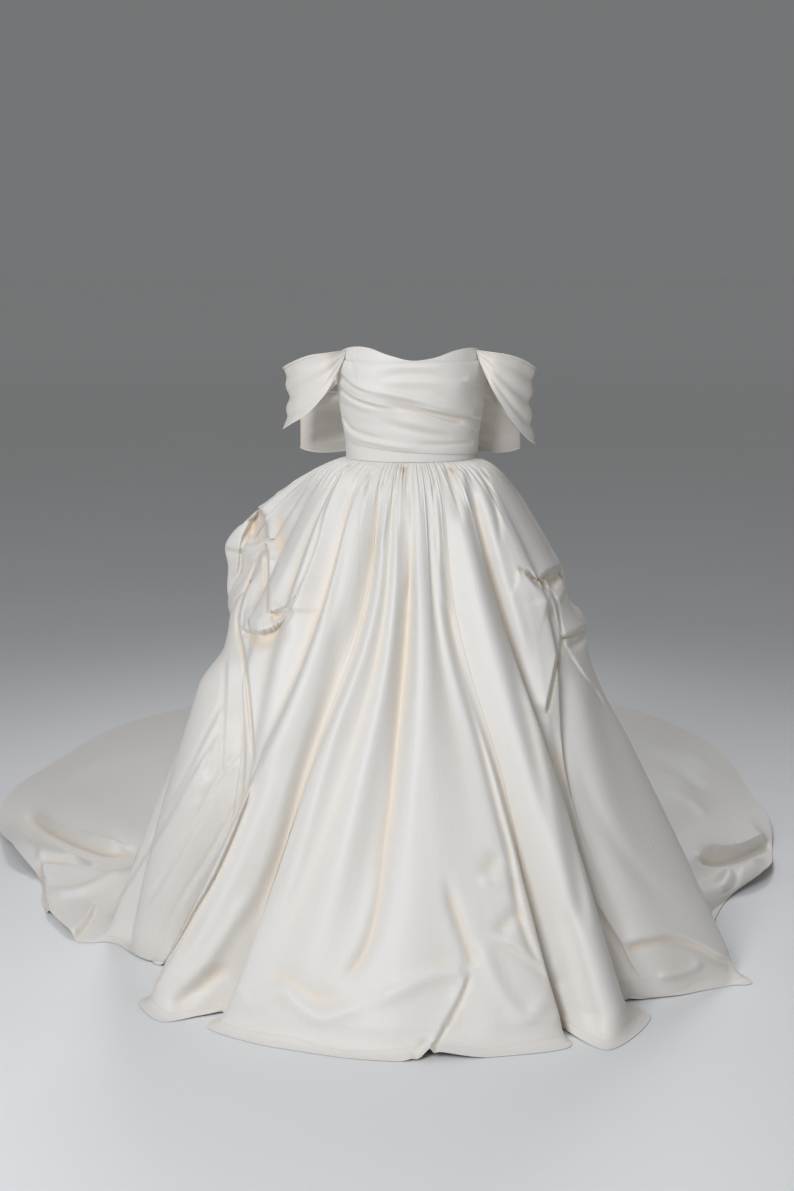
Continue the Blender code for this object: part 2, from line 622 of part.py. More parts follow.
def build_knot(collection):
    """Rounded binding with its two ends drawn in."""
    bm = bmesh.new()
    bmesh.ops.create_cone(bm, cap_ends=True, segments=KNOT_SIDES, radius1=1, radius2=1, depth=1)
    uprights = [edge for edge in bm.edges if abs(edge.verts[0].co.z - edge.verts[1].co.z) > 0.5]
    bmesh.ops.subdivide_edges(bm, edges=uprights, cuts=KNOT_CUTS)
    middle = (KNOT_FRONT + KNOT_BACK) / 2
    half_depth = (KNOT_BACK - KNOT_FRONT) / 2
    for vertex in bm.verts:
        share = vertex.co.z + 0.5
        drawn = 1 - KNOT_DRAWN + KNOT_DRAWN * np.sin(np.pi * share)
        across = np.sign(vertex.co.x) * abs(vertex.co.x) ** KNOT_ROUNDNESS
        deep = np.sign(vertex.co.y) * abs(vertex.co.y) ** KNOT_ROUNDNESS
        height = KNOT_LOW + (KNOT_TOP - KNOT_LOW) * share
        vertex.co = (KNOT_HALF_WIDTH * drawn * across, middle + half_depth * drawn * deep, height)
    finish_object("bow_knot", bm, collection)


def make_satin(name):
    """Ivory satin for one piece."""
    material = bpy.data.materials.new(name)
    material.use_nodes = True
    shader = material.node_tree.nodes["Principled BSDF"]
    shader.inputs["Base Color"].default_value = SATIN_COLOUR
    shader.inputs["Roughness"].default_value = SATIN_ROUGHNESS
    shader.inputs["Metallic"].default_value = 0.0
    shader.inputs["Sheen Weight"].default_value = SATIN_SHEEN
    return material


def main():
    for item in list(bpy.data.objects):
        bpy.data.objects.remove(item, do_unlink=True)
    collection = bpy.data.collections.new("wedding_dress")
    bpy.context.scene.collection.children.link(collection)
    build_skirt(collection)
    build_bodice(collection)
    build_drape(collection)
    build_sleeve("sleeve_left", -1, SLEEVE_LEFT, SLEEVE_FOLDS_LEFT, collection)
    build_sleeve("sleeve_right", 1, SLEEVE_RIGHT, SLEEVE_FOLDS_RIGHT, collection)
    build_bow(collection)


main()
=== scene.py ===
import math
from collections import namedtuple

import bpy
import numpy as np
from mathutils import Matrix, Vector


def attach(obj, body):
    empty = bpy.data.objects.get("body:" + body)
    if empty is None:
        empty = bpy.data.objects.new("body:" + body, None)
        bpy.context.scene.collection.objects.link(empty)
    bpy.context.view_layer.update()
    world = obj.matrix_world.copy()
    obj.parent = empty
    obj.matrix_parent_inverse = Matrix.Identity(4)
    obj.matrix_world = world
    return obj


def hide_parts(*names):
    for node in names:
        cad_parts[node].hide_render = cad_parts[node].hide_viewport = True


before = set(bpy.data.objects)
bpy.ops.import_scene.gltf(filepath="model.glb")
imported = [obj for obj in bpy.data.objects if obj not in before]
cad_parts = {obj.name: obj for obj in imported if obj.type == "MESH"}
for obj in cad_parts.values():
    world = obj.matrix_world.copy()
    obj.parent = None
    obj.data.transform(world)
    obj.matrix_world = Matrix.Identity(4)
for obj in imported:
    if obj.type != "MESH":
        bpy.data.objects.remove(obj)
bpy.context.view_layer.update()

# Sizes of the cloth in metres: drops under the waist, the bend at the floor and the thickness
FLOOR_DROP = 1.100
BREAK_DROP = 1.05
HIP_DROP = 0.21
KNEE_DROP = 0.62
CORNER_REACH = 0.030
CLOTH = 0.0012
FLOOR_CLEAR = 0.0010
LEAST_CLEAR = 0.0004

# Camera of the photograph, and the photograph's frame in pixels
CAMERA_AT = (-0.03, -4.4, 0.50)
CAMERA_PITCH = math.radians(10.356)
LENS = 61.83
SENSOR = 36.0
PHOTO_WIDTH = 794
PHOTO_HEIGHT = 1191
FOCAL = LENS / SENSOR * PHOTO_HEIGHT

Fold = namedtuple(
    "Fold",
    "name waist hip knee floor hip_out knee_out floor_out puff hem_x hem_y lift",
)

# One row for each ridge, valley or layer edge of the skirt, from the centre back round by the
# viewer's left, the front and the right. Angles are in degrees and the rest is in metres.
FOLDS = [Fold(*row) for row in (
    ("centre_back", -180, -180, -180, -180, -.01, -.015, -.02, .06, 0, 2.62, 0),
    ("train_l_one", -170, -171, -172, -172, .02, .02, .02, .075, -.38, 2.52, .01),
    ("train_l_two", -160, -161, -162, -162, -.018, -.02, -.02, .09, -.7, 2.3, 0),
    ("train_l_three", -150, -152, -153, -153, .022, .02, .02, .11, -.93, 1.93, .012),
    ("train_l_four", -141, -143, -145, -145, -.018, -.02, -.02, .125, -1.06, 1.55, 0),
    ("train_l_five", -133, -135, -137, -137, .022, .022, .015, .14, -1.117, 1.17, .02),
    ("train_l_six", -126, -128, -130, -130, -.015, -.02, -.025, .145, -1.1, .9, 0),
    ("train_l_seven", -119, -121, -123, -120, .01, .018, 0, .15, -1.003, .606, .03),
    ("train_l_eight", -113, -116, -117, -112, 0, -.025, -.04, .152, -.907, .43, .002),
    ("train_l_side", -109, -112, -110, -105, .005, -.026, -.04, .155, -.87, .24, 0),
    ("train_l_corner", -106, -109, -105, -100.5, 0, -.034, -.03, .14, -.764, .022, 0),
    ("under_two", -103, -106, -101, -97.5, -.012, -.04, -.032, .09, -.736, -.004, 0),
    ("layer_two_edge", -100, -103, -97, -94.5, 0, .006, -.03, .105, -.712, -.004, 0),
    ("layer_two_front", -96, -98, -90, -91, .006, 0, -.07, .04, -.686, 0, 0),
    ("under_one", -92, -94.5, -84, -87, -.004, -.026, -.12, .015, -.655, -.02, 0),
    ("layer_one_edge", -88, -91, -79, -83, .044, .026, -.085, .008, -.628, -.06, 0),
    ("layer_one_front", -84, -86, -66, -75, .01, .006, -.13, 0, -.58, -.118, 0),
    ("side_l_under", -79, -82, -57, -68, -.024, -.046, -.22, 0, -.505, -.16, .002),
    ("side_l_edge", -74, -78, -52, -64, .022, -.03, -.21, 0, -.5, -.205, .002),
    ("side_l_panel", -66, -65, -49, -60, -.002, -.022, -.2, 0, -.5, -.25, .002),
    ("side_l_ridge", -57, -52, -46, -57, .018, -.01, -.175, 0, -.5, -.3, .002),
    ("toe_l_flank", -44, -41, -44, -55, -.01, .018, -.028, 0, -.566, -.36, .002),
    ("toe_l_tip", -37, -33, -39, -49, .018, .032, -.015, 0, -.512, -.466, 0),
    ("toe_l_inside", -31, -27, -34, -43, -.004, .006, -.1, 0, -.43, -.44, .002),
    ("front_l_seam", -26, -22, -31, -38, -.02, -.02, -.115, 0, -.385, -.425, .002),
    ("front_l_edge", -20, -15, -27, -37, .004, .01, -.04, 0, -.413, -.498, 0),
    ("front_l_hollow", -15, -11, -19, -28, .007, .009, -.018, 0, -.321, -.574, 0),
    ("front_l_crest", -11, -7, -13, -21, .01, .012, -.008, 0, -.22, -.619, 0),
    ("front_valley", -5, -1, -6, -14, -.018, -.02, -.014, 0, -.121, -.653, 0),
    ("front_crest", 2, 3, 0, -3, .012, .016, .006, 0, -.024, -.6675, 0),
    ("front_crease", 8, 7, 4, 8, .01, .013, -.014, 0, .038, -.658, .016),
    ("front_r_crest", 13, 10, 13, 16, .01, .014, .004, 0, .15, -.648, 0),
    ("front_r_edge", 18, 13, 22, 27, .008, .01, .004, 0, .309, -.599, 0),
    ("front_r_seam", 24, 19, 26, 29, -.016, -.018, -.095, 0, .295, -.5, .002),
    ("toe_r_tip", 32, 28, 32, 35, .02, .03, .028, 0, .385, -.612, 0),
    ("toe_r_flank", 40, 36, 39, 43, .006, .016, -.03, 0, .487, -.452, 0),
    ("toe_r_under", 47, 42, 43, 46, -.022, -.03, -.12, 0, .445, -.365, .003),
    ("side_r_fold", 54, 53, 45, 49, .014, -.03, -.11, 0, .48, -.35, .002),
    ("side_r_edge", 60, 63, 47.5, 52, .016, -.03, -.085, 0, .53, -.335, 0),
    ("side_r_hollow", 65, 66, 50, 56, -.012, -.038, -.06, 0, .57, -.322, 0),
    ("side_r_panel", 71, 73, 60, 63, -.002, -.022, -.038, 0, .62, -.296, 0),
    ("side_r_ridge", 79, 84, 74, 73, .008, -.018, 0, .01, .68, -.268, 0),
    ("side_r_back_edge", 86, 92, 88, 77, 0, -.01, 0, .025, .729, -.24, 0),
    ("side_r_back_under", 92, 98, 90, 84, -.02, -.05, -.08, .03, .668, -.06, .001),
    ("train_r_one", 99, 104, 99, 98, .002, -.034, -.05, .045, .752, .27, 0),
    ("train_r_two", 106, 110, 109, 110, .01, -.015, -.015, .05, .885, .455, .025),
    ("train_r_three", 113, 118, 118, 118, -.012, -.028, -.03, .055, .935, .66, 0),
    ("train_r_four", 120, 125, 127, 126, .014, 0, .005, .06, .966, .88, .02),
    ("train_r_five", 128, 133, 136, 134, -.015, -.018, -.02, .065, .975, 1.22, 0),
    ("train_r_six", 137, 142, 145, 144, .02, .018, .018, .07, .96, 1.58, .012),
    ("train_r_seven", 147, 151, 154, 154, -.018, -.02, -.02, .07, .9, 1.93, 0),
    ("train_r_eight", 158, 161, 163, 163, .02, .02, .02, .07, .7, 2.26, .01),
    ("train_r_nine", 169, 171, 172, 172, -.016, -.018, -.018, .065, .37, 2.5, 0),
)]

PuffLevel = namedtuple("PuffLevel", "drop left right")
PUFF_LEVELS = [PuffLevel(*row) for row in (
    (0, 0, 0),
    (.04, .22, .25),
    (.08, .46, .5),
    (.15, .8, .74),
    (.21, 1, .9),
    (.27, .8, 1),
    (.33, .52, .66),
    (.39, .2, 1.05),
    (.45, -.08, -.1),
    (.62, 0, 0),
    (1.1, 0, 0),
)]
# Degrees where the two tiers start to ease into the shelf behind them
TIERS_END = 112.0

Cowl = namedtuple("Cowl", "name degrees half_span drop out")
COWLS = [
    Cowl("left_lip", -70, 17, 0.34, 0.022),
    Cowl("right_lip", 66, 12, 0.29, 0.014),
]

SKIRT_PIECES = [
    ("train_left", "centre_back", "side_l_under"),
    ("skirt_side_left", "side_l_under", "front_l_seam"),
    ("skirt_front", "front_l_seam", "front_r_seam"),
    ("skirt_side_right", "front_r_seam", "side_r_back_under"),
    ("train_right", "side_r_back_under", "centre_back"),
]
FRONT_FIRST = "train_l_four"
FRONT_LAST = "train_r_four"
FRONT_COLUMNS = 22
BACK_COLUMNS = 8
DROP_ROWS = 216
RUN_ROWS = 64
# Crowding of the rows toward the corner where the cloth meets the floor
RUN_POWER = 1.4


def soft_step(x):
    """Smooth rise from 0 to 1."""
    x = np.clip(x, 0, 1)
    return x * x * (3 - 2 * x)


def unit(vectors):
    """Vectors brought to a length of 1."""
    return vectors / np.maximum(np.linalg.norm(vectors, axis=-1, keepdims=True), 1e-12)


def gaps(points, axis):
    """Distances between neighbouring points along an axis."""
    return np.linalg.norm(np.diff(points, axis=axis), axis=-1)


def running(lengths):
    """Distance gone at each point, from 0."""
    return np.concatenate([[0], np.cumsum(lengths)])


def cubic(values, slopes, left, width, t):
    """Cubic between one knot and the next, for a share of the way."""
    start = values[left] * (2 * t ** 3 - 3 * t ** 2 + 1) + values[left + 1] * (3 * t ** 2 - 2 * t ** 3)
    bend = slopes[left] * (t ** 3 - 2 * t ** 2 + t) + slopes[left + 1] * (t ** 3 - t ** 2)
    return start + width * bend


def through(knots, values, at):
    """Smooth curve through values given at rising knots."""
    knots = np.asarray(knots, float)
    values = np.asarray(values, float)
    at = np.clip(np.asarray(at, float), knots[0], knots[-1])
    slopes = np.gradient(values, knots)
    left = np.clip(np.searchsorted(knots, at, side="right") - 1, 0, len(knots) - 2)
    width = knots[left + 1] - knots[left]
    t = (at - knots[left]) / width
    return cubic(values, slopes, left, width, t)


def around(values, at, turn=0.0):
    """Smooth closed curve through one value for each row; turn is what one lap adds."""
    values = np.asarray(values, float)
    count = len(values)
    row = np.floor(at).astype(int)
    t = at - row

    def value(offset):
        index = row + offset
        return values[index % count] + turn * (index // count)

    before, here, after, beyond = value(-1), value(0), value(1), value(2)
    bend = 2 * before - 5 * here + 4 * after - beyond
    twist = 3 * (here - after) + beyond - before
    return 0.5 * (2 * here + (after - before) * t + bend * t ** 2 + twist * t ** 3)


Bell = namedtuple("Bell", "waist slope spring over")
BELL_SIDE = Bell(0.140, 0.50, 0.040, 0.018)
BELL_FRONT = Bell(0.105, 0.45, 0.050, 0.050)
BELL_BACK = Bell(0.095, 0.58, 0.060, 0.050)


def bell_reach(bell, drop):
    """Reach of the bell: its waist, its slope and the spring of the gathers."""
    return bell.waist + bell.slope * drop + bell.spring * (1 - np.exp(-drop / bell.over))


def bell_radius(degrees, drop):
    """Distance from the axis to the plain bell of the skirt."""
    side = bell_reach(BELL_SIDE, drop)
    front = bell_reach(BELL_FRONT, drop)
    back = bell_reach(BELL_BACK, drop)
    angle = np.radians(degrees)
    depth = np.where(np.cos(angle) > 0, front, back)
    return 1 / np.sqrt((np.sin(angle) / side) ** 2 + (np.cos(angle) / depth) ** 2)


def puff_share(degrees, drop):
    """How much of a row's hip puff stands out at a drop."""
    drops = [level.drop for level in PUFF_LEVELS]
    left = through(drops, [level.left for level in PUFF_LEVELS], drop)
    right = through(drops, [level.right for level in PUFF_LEVELS], drop)
    wrapped = (degrees + 180) % 360 - 180
    to_left = np.where(wrapped < 0, 1, soft_step((wrapped - TIERS_END) / (180 - TIERS_END)))
    return right + (left - right) * to_left


def cowl_out(degrees, drop):
    """Extra reach of the cowl lips, which roll back sharply under their lower edge."""
    total = np.zeros(np.broadcast(degrees, drop).shape)
    for cowl in COWLS:
        across = np.clip((degrees - cowl.degrees) / cowl.half_span, -1, 1)
        span = np.cos(across * np.pi / 2) ** 2
        above = np.clip((drop - cowl.drop + 0.12) / 0.12, 0, 1)
        below = np.clip((cowl.drop + 0.03 - drop) / 0.03, 0, 1)
        total = total + cowl.out * span * above ** 2 * below
    return total


def level_value(columns, drop):
    """Blend four level columns along the drop, for every drop in a column vector."""
    knots = np.array([0.0, HIP_DROP, KNEE_DROP, BREAK_DROP])
    levels = np.stack(columns)
    slopes = np.gradient(levels, knots, axis=0)
    left = np.clip(np.searchsorted(knots, drop[:, 0], side="right") - 1, 0, 2)
    width = (knots[left + 1] - knots[left])[:, None]
    t = (np.minimum(drop, BREAK_DROP) - knots[left][:, None]) / width
    return cubic(levels, slopes, left, width, t)


def fold_column(name, at, turn=0.0):
    """A column of the fold table read round the ring."""
    return around([getattr(fold, name) for fold in FOLDS], at, turn)


def to_pixels(points):
    """Photograph pixel of each point, and its distance in front of the camera."""
    x = points[..., 0] - CAMERA_AT[0]
    y = points[..., 1] - CAMERA_AT[1]
    z = CAMERA_AT[2] - points[..., 2]
    depth = math.cos(CAMERA_PITCH) * y + math.sin(CAMERA_PITCH) * z
    down = math.cos(CAMERA_PITCH) * z - math.sin(CAMERA_PITCH) * y
    across = PHOTO_WIDTH / 2 + FOCAL * x / depth
    return np.stack([across, PHOTO_HEIGHT / 2 + FOCAL * down / depth], axis=-1), depth


def grid_normals(grid, closed):
    """Unit normals of a grid of points, smooth round a closed ring."""
    down = np.gradient(grid, axis=0)
    if closed:
        along = np.roll(grid, -1, axis=1) - np.roll(grid, 1, axis=1)
    else:
        along = np.gradient(grid, axis=1)
    return unit(np.cross(down, along))


def smooth_path(path, steps=10):
    """Smooth line of pixels through a crease's own points."""
    points = np.array(path, float)
    gone = running(gaps(points, 0))
    at = np.linspace(0, gone[-1], (len(points) - 1) * steps + 1)
    return np.stack([through(gone, points[:, k], at) for k in range(2)], axis=-1)


def path_distance(pixels, path):
    """Distance across a path, above 0 on its right going down, and the share along it."""
    start = path[:-1]
    step = path[1:] - start
    length = np.linalg.norm(step, axis=1)
    gone = running(length)
    best = np.full(len(pixels), 1e9)
    side = np.zeros(len(pixels))
    share = np.zeros(len(pixels))
    for k in range(len(step)):
        offset = pixels - start[k]
        t = np.clip(offset @ step[k] / length[k] ** 2, 0, 1)
        miss = offset - t[:, None] * step[k]
        distance = np.hypot(miss[:, 0], miss[:, 1])
        nearer = distance < best
        best = np.where(nearer, distance, best)
        turn = offset[:, 0] * step[k][1] - offset[:, 1] * step[k][0]
        side = np.where(nearer, np.sign(turn), side)
        share = np.where(nearer, (gone[k] + t * length[k]) / gone[-1], share)
    return best * side, share


# One row for each crease, placed on the photograph: a ridge is a soft line that stands out by
# lift (or in, below zero) and is width pixels wide; an edge is a fold that lies over its
# neighbour, rises by lift within width pixels and settles again over fall pixels.
Crease = namedtuple("Crease", "kind lift width fall start end path")


def ridge(lift, width, start, end, path):
    """Soft line that tapers over its start and end shares."""
    return Crease("ridge", lift, width, 0, start, end, path)


def edge(lift, width, fall, start, end, path):
    """Fold's edge, raised on the path's right going down, or above it going right."""
    return Crease("edge", lift, width, fall, start, end, path)


# Pixels of the cells that find the nearest cloth, and how far behind it still takes creases
SEEN_CELL = 5
SEEN_DEPTH = 0.34


def to_eye(points):
    """Unit directions from points to the camera."""
    return unit(np.array(CAMERA_AT) - points)


def seen_share(points, normals):
    """1 where the camera sees the outer face, falling to 0 where it turns or hides."""
    pixels, depth = to_pixels(points)
    eye = to_eye(points)
    facing = soft_step(((normals * eye).sum(-1) + 0.02) / 0.14)
    bins = np.floor(pixels / SEEN_CELL).astype(int)
    key = bins[..., 0] * 4096 + bins[..., 1]
    order = np.argsort(depth.ravel())
    keys, first = np.unique(key.ravel()[order], return_index=True)
    nearest = depth.ravel()[order][first]
    front = nearest[np.searchsorted(keys, key)]
    return facing * soft_step((front + SEEN_DEPTH - depth) / 0.10)


def lift_way(points, normals):
    """Way that creases lift the cloth: to the front where it hangs, straight out where it lies."""
    eye = to_eye(points)
    lying = soft_step((np.abs(normals[..., 2:]) - 0.50) / 0.35)
    return unit(eye * (1 - lying) + normals * lying)


def pressed(points, normals, creases):
    """Points of a grid once its creases have lifted or sunk them."""
    pixels, _ = to_pixels(points)
    flat = pixels.reshape(-1, 2)
    seen = seen_share(points, normals).ravel()
    total = np.zeros(len(flat))
    for crease in creases:
        path = smooth_path(crease.path)
        reach = 3 * crease.width + 3.5 * crease.fall + 2
        inside = (flat > path.min(0) - reach).all(1) & (flat < path.max(0) + reach).all(1)
        near = inside & (seen > 0.001)
        index = np.nonzero(near)[0]
        if not len(index):
            continue
        across, share = path_distance(flat[index], path)
        taper = soft_step((share + 1e-6) / max(crease.start, 1e-6))
        taper = taper * soft_step((1 - share + 1e-6) / max(crease.end, 1e-6))
        if crease.kind == "ridge":
            shape = np.exp(-(across / crease.width) ** 2)
        else:
            shape = np.sqrt(soft_step(across / crease.width))
            shape *= np.exp(-np.maximum(across, 0) / crease.fall)
            shape -= 0.40 * np.exp(-(across / crease.width + 0.9) ** 2)
        total[index] += crease.lift * taper * shape * seen[index]
    return points + lift_way(points, normals) * total.reshape(points.shape[:-1])[..., None]


SKIRT_CREASES = [
    # Left hip: recess, lifted folds and the cowl under them
    edge(.02, 1.5, 24, .02, .02, [(258, 508), (261, 512), (264.5, 520), (266.5, 530), (267.3, 544),
        (267.8, 560), (268, 578), (267.8, 595), (268.5, 613)]),
    ridge(-.034, 8.5, .16, .3, [(258, 510), (255, 524), (254, 536), (255, 549)]),
    edge(.01, 2, 7, .1, .2, [(237, 578), (239.5, 562), (241, 545), (244, 535), (249.5, 526), (257, 510)]),
    edge(.01, 2.6, 7, .08, .1, [(220, 545), (229, 549), (241, 551), (250, 549), (258, 546), (266, 543)]),
    edge(.018, 1.8, 18, .02, .22, [(262, 552), (256, 568), (251, 581), (245, 595), (241, 607), (239, 619),
        (239.6, 630), (243, 646), (246, 664), (250, 700), (253, 737), (256, 774)]),
    edge(.012, 1.6, 9, .02, .2, [(268, 613), (276, 611), (284, 607.5), (291, 601), (299, 590)]),
    ridge(-.016, 3.6, .1, .2, [(271, 620), (279, 617), (287, 611), (291, 606)]),
    edge(.022, 2, 13, .06, .1, [(241, 630), (251, 632), (262, 632.5), (272, 629.5), (281, 624), (287, 616),
        (291, 607)]),
    ridge(-.012, 7, .2, .3, [(246, 640), (262, 642), (276, 637), (290, 624)]),
    ridge(-.012, 9, .3, .4, [(281, 508), (279, 535), (282, 566)]),
    ridge(.008, 6, .2, .4, [(270, 512), (271, 540), (272, 575)]),
    # Front fold over the left side, and the long layer lines under it
    edge(.012, 2, 10, .06, .35, [(348, 462), (337, 482), (325, 510), (318, 538), (310, 562), (300, 586),
        (288, 612), (276, 645)]),
    edge(.01, 2.6, 14, .1, .1, [(227, 655), (225.6, 698), (224, 735), (222, 777)]),
    edge(.01, 2.4, 24, .2, .2, [(252, 742), (234, 760), (222, 776), (205, 808), (182, 850), (158, 890),
        (138, 920)]),
    edge(.009, 2.4, 8, .1, .14, [(255, 775), (240, 801), (222, 836), (206, 864), (189, 890), (173, 919),
        (158, 950), (146, 984)]),
    edge(.014, 1.6, 6, .1, .1, [(144, 1000), (158, 975), (176, 945), (196, 908), (212, 880), (228, 846),
        (242, 812), (254, 782)]),
    ridge(-.018, 8.5, .2, .25, [(268, 745), (258, 780), (244, 820), (226, 862), (206, 902), (186, 938),
        (166, 972)]),
    edge(.008, 2.4, 12, .1, .3, [(225, 701), (215, 719), (203, 743), (190, 769), (176, 794), (158, 824)]),
    edge(.01, 2.4, 18, .08, .3, [(223, 728), (208, 750), (191, 777), (173, 810), (152, 846), (130, 881),
        (118, 901), (113, 920)]),
    ridge(-.006, 4, .4, .4, [(214, 744), (209, 760), (206, 780)]),
    ridge(.005, 5, .4, .4, [(214, 775), (200, 788), (186, 798)]),
    ridge(.004, 5.5, .4, .4, [(206, 796), (190, 806), (174, 818)]),
    # Front: creases from the gathers to the floor
    ridge(-.007, 7, .1, .3, [(355, 480), (350, 505), (346, 540), (336, 590), (322, 640)]),
    ridge(-.01, 9, .2, .2, [(352, 590), (338, 650), (322, 710), (302, 780), (288, 840), (262, 900),
        (240, 950)]),
    ridge(.007, 9, .3, .2, [(384, 560), (366, 620), (344, 690), (326, 760), (306, 830), (280, 910),
        (262, 960)]),
    ridge(-.008, 5, .05, .4, [(388, 478), (383, 505), (379, 530), (374, 556), (368, 590)]),
    ridge(.006, 3, .1, .3, [(393, 478), (387, 508), (383, 532), (377, 560)]),
    ridge(-.005, 3, .1, .5, [(372, 472), (369, 485), (366, 500)]),
    ridge(-.005, 3, .1, .4, [(398, 470), (397, 500), (396, 545)]),
    ridge(-.009, 4.2, .04, .2, [(404, 462), (408, 485), (412, 510), (412, 560), (408, 610)]),
    ridge(-.013, 7, .15, .1, [(411, 560), (406, 620), (401, 680), (397, 740), (393, 800), (386, 850),
        (380, 900), (366, 950), (340, 990)]),
    ridge(-.006, 3, .1, .4, [(434, 480), (433, 505), (436, 540), (438, 575)]),
    ridge(-.01, 4.2, .1, .12, [(440, 585), (447, 615), (452, 640), (462, 680), (474, 720), (486, 765),
        (496, 805), (508, 850), (515, 890), (524, 930), (540, 965), (556, 985)]),
    ridge(-.01, 5, .06, .3, [(448, 466), (454, 490), (458, 512), (462, 530)]),
    ridge(.006, 4, .1, .3, [(461, 468), (467, 495), (472, 515)]),
    ridge(-.013, 8, .1, .28, [(466, 480), (476, 515), (487, 560), (498, 605), (511, 650), (522, 700),
        (533, 745), (545, 800), (556, 850)]),
    ridge(.008, 7, .1, .2, [(478, 480), (492, 530), (503, 570), (518, 620), (530, 665)]),
    ridge(-.006, 3, .1, .3, [(479, 463), (490, 490), (498, 520), (502, 550)]),
    # Settled hem of the front
    ridge(.008, 8, .25, .25, [(232, 972), (238, 990), (249, 1003), (263, 997), (281, 991), (298, 1006),
        (321, 1018), (346, 1011), (378, 1000)]),
    ridge(-.004, 9, .25, .25, [(262, 978), (282, 974), (304, 988), (326, 998), (350, 990)]),
    ridge(.008, 8, .25, .1, [(366, 1006), (400, 990), (432, 976), (468, 969)]),
    edge(.01, 2.2, 16, .1, .16, [(430, 1059), (438, 1038), (450, 1017), (462, 993), (471, 969)]),
    ridge(-.01, 6, .06, .4, [(474, 966), (464, 938), (453, 905), (444, 870)]),
    ridge(-.006, 5, .2, .2, [(412, 1060), (421, 1050), (430, 1038)]),
    ridge(-.007, 10, .3, .35, [(502, 848), (492, 866), (482, 882)]),
    ridge(.006, 7, .3, .3, [(476, 884), (494, 878), (508, 880), (518, 888)]),
    ridge(-.009, 8, .25, .3, [(521, 907), (508, 922), (496, 938)]),
    edge(.009, 4, 14, .25, .15, [(490, 940), (505, 944), (520, 953), (536, 966), (552, 983)]),
    ridge(.007, 8, .2, .2, [(480, 936), (491, 968), (508, 1001), (527, 1017), (539, 1008), (551, 986)]),
    # Toes at both sides of the front
    ridge(-.012, 8, .25, .25, [(232, 962), (210, 978), (188, 996), (168, 1012)]),
    ridge(.008, 8, .25, .25, [(258, 880), (228, 930), (196, 975), (165, 1000)]),
    ridge(-.008, 6, .2, .2, [(562, 900), (575, 950), (588, 1000), (598, 1040)]),
    edge(.01, 2.4, 12, .1, .2, [(553, 985), (562, 1010), (566, 1030), (572, 1040)]),
    # Right side: fold from the hip, long valleys and the settled corner
    ridge(-.016, 9, .2, .2, [(545, 716), (558, 770), (568, 820), (578, 880), (588, 940)]),
    ridge(-.006, 9, .3, .3, [(572, 740), (592, 800), (622, 850), (660, 895), (684, 908)]),
    edge(.008, 3, 12, .2, .2, [(590, 895), (604, 918), (618, 940), (634, 970), (646, 985)]),
    edge(.016, 4, 14, .15, .2, [(618, 947), (646, 941), (672, 938), (698, 946), (720, 958), (746, 968)]),
    ridge(.008, 4, .2, .3, [(655, 978), (682, 973), (698, 965), (690, 956)]),
    # Right hip: rolled curl, the slit beside it and the second tier
    edge(.018, 1.6, 16, .02, .04, [(541, 581), (543, 576.5), (547, 573), (553, 569.5), (559, 567),
        (566, 567)]),
    ridge(-.03, 5.5, .2, .25, [(547, 584), (554, 580), (560, 575), (563, 571)]),
    edge(.012, 1.6, 8, .04, .06, [(560, 603), (565, 592), (568.5, 583), (569.5, 573)]),
    edge(.016, 1.6, 14, .06, .04, [(553, 592), (545, 589.5), (536, 585), (531, 579), (526, 572),
        (518, 570)]),
    ridge(-.018, 2.6, .2, .25, [(526, 570), (533, 578), (541, 584), (549, 588)]),
    edge(.016, 1.6, 12, .1, .04, [(545, 716), (550, 692), (555, 668), (560, 645), (561, 637), (558.5, 620),
        (556, 604), (551, 592)]),
    edge(.02, 1.8, 18, .04, .04, [(561, 637), (570, 634.5), (580, 630), (588, 626.5), (597, 620)]),
    ridge(-.022, 5, .25, .3, [(566, 642), (574, 643), (583, 637), (591, 628)]),
    edge(.01, 1.6, 8, .1, .2, [(562, 640), (569, 651), (575, 661), (585, 676), (597, 692), (608, 711)]),
    # Train on the left
    edge(.04, 4.5, 10, .25, .35, [(28, 810), (40, 820), (56, 832), (75, 843), (95, 851), (114, 855),
        (132, 853), (147, 847)]),
    ridge(-.014, 5, .3, .3, [(46, 834), (70, 850), (98, 861), (122, 864), (140, 860)]),
    ridge(.014, 7, .3, .3, [(8, 822), (20, 842), (36, 856), (60, 862)]),
    ridge(-.01, 4, .3, .3, [(26, 812), (34, 822), (42, 836)]),
    ridge(.004, 7, .3, .3, [(60, 780), (100, 762), (150, 750)]),
    ridge(-.004, 6, .3, .3, [(52, 796), (96, 784), (146, 776)]),
    edge(.016, 1.8, 16, .04, .2, [(38, 864), (60, 861), (95, 859), (132, 854)]),
    edge(.016, 1.8, 14, .1, .1, [(41, 860), (43, 878), (45, 902), (49, 918), (58, 930), (74, 944)]),
    ridge(.01, 5, .2, .3, [(46, 897), (75, 893), (98, 884), (122, 870)]),
    edge(.012, 1.8, 10, .1, .1, [(74, 941), (84, 928), (92, 915), (96, 903)]),
    # Train on the right
    edge(.044, 3.6, 9, .16, .12, [(696, 854), (710, 857), (724, 858), (739, 855.5), (752, 850),
        (769, 841)]),
    ridge(-.024, 3.4, .2, .2, [(702, 859), (722, 863), (742, 860), (762, 850)]),
    ridge(.02, 7, .3, .3, [(714, 878), (736, 876), (754, 868), (766, 858)]),
    ridge(-.01, 4, .3, .3, [(722, 898), (734, 884), (740, 872)]),
    ridge(.006, 6, .3, .3, [(640, 742), (660, 752), (690, 756), (716, 772)]),
    ridge(-.006, 5, .3, .3, [(652, 766), (676, 768), (702, 788), (736, 792)]),
    ridge(.005, 5, .3, .3, [(664, 790), (690, 800), (712, 822)]),
]


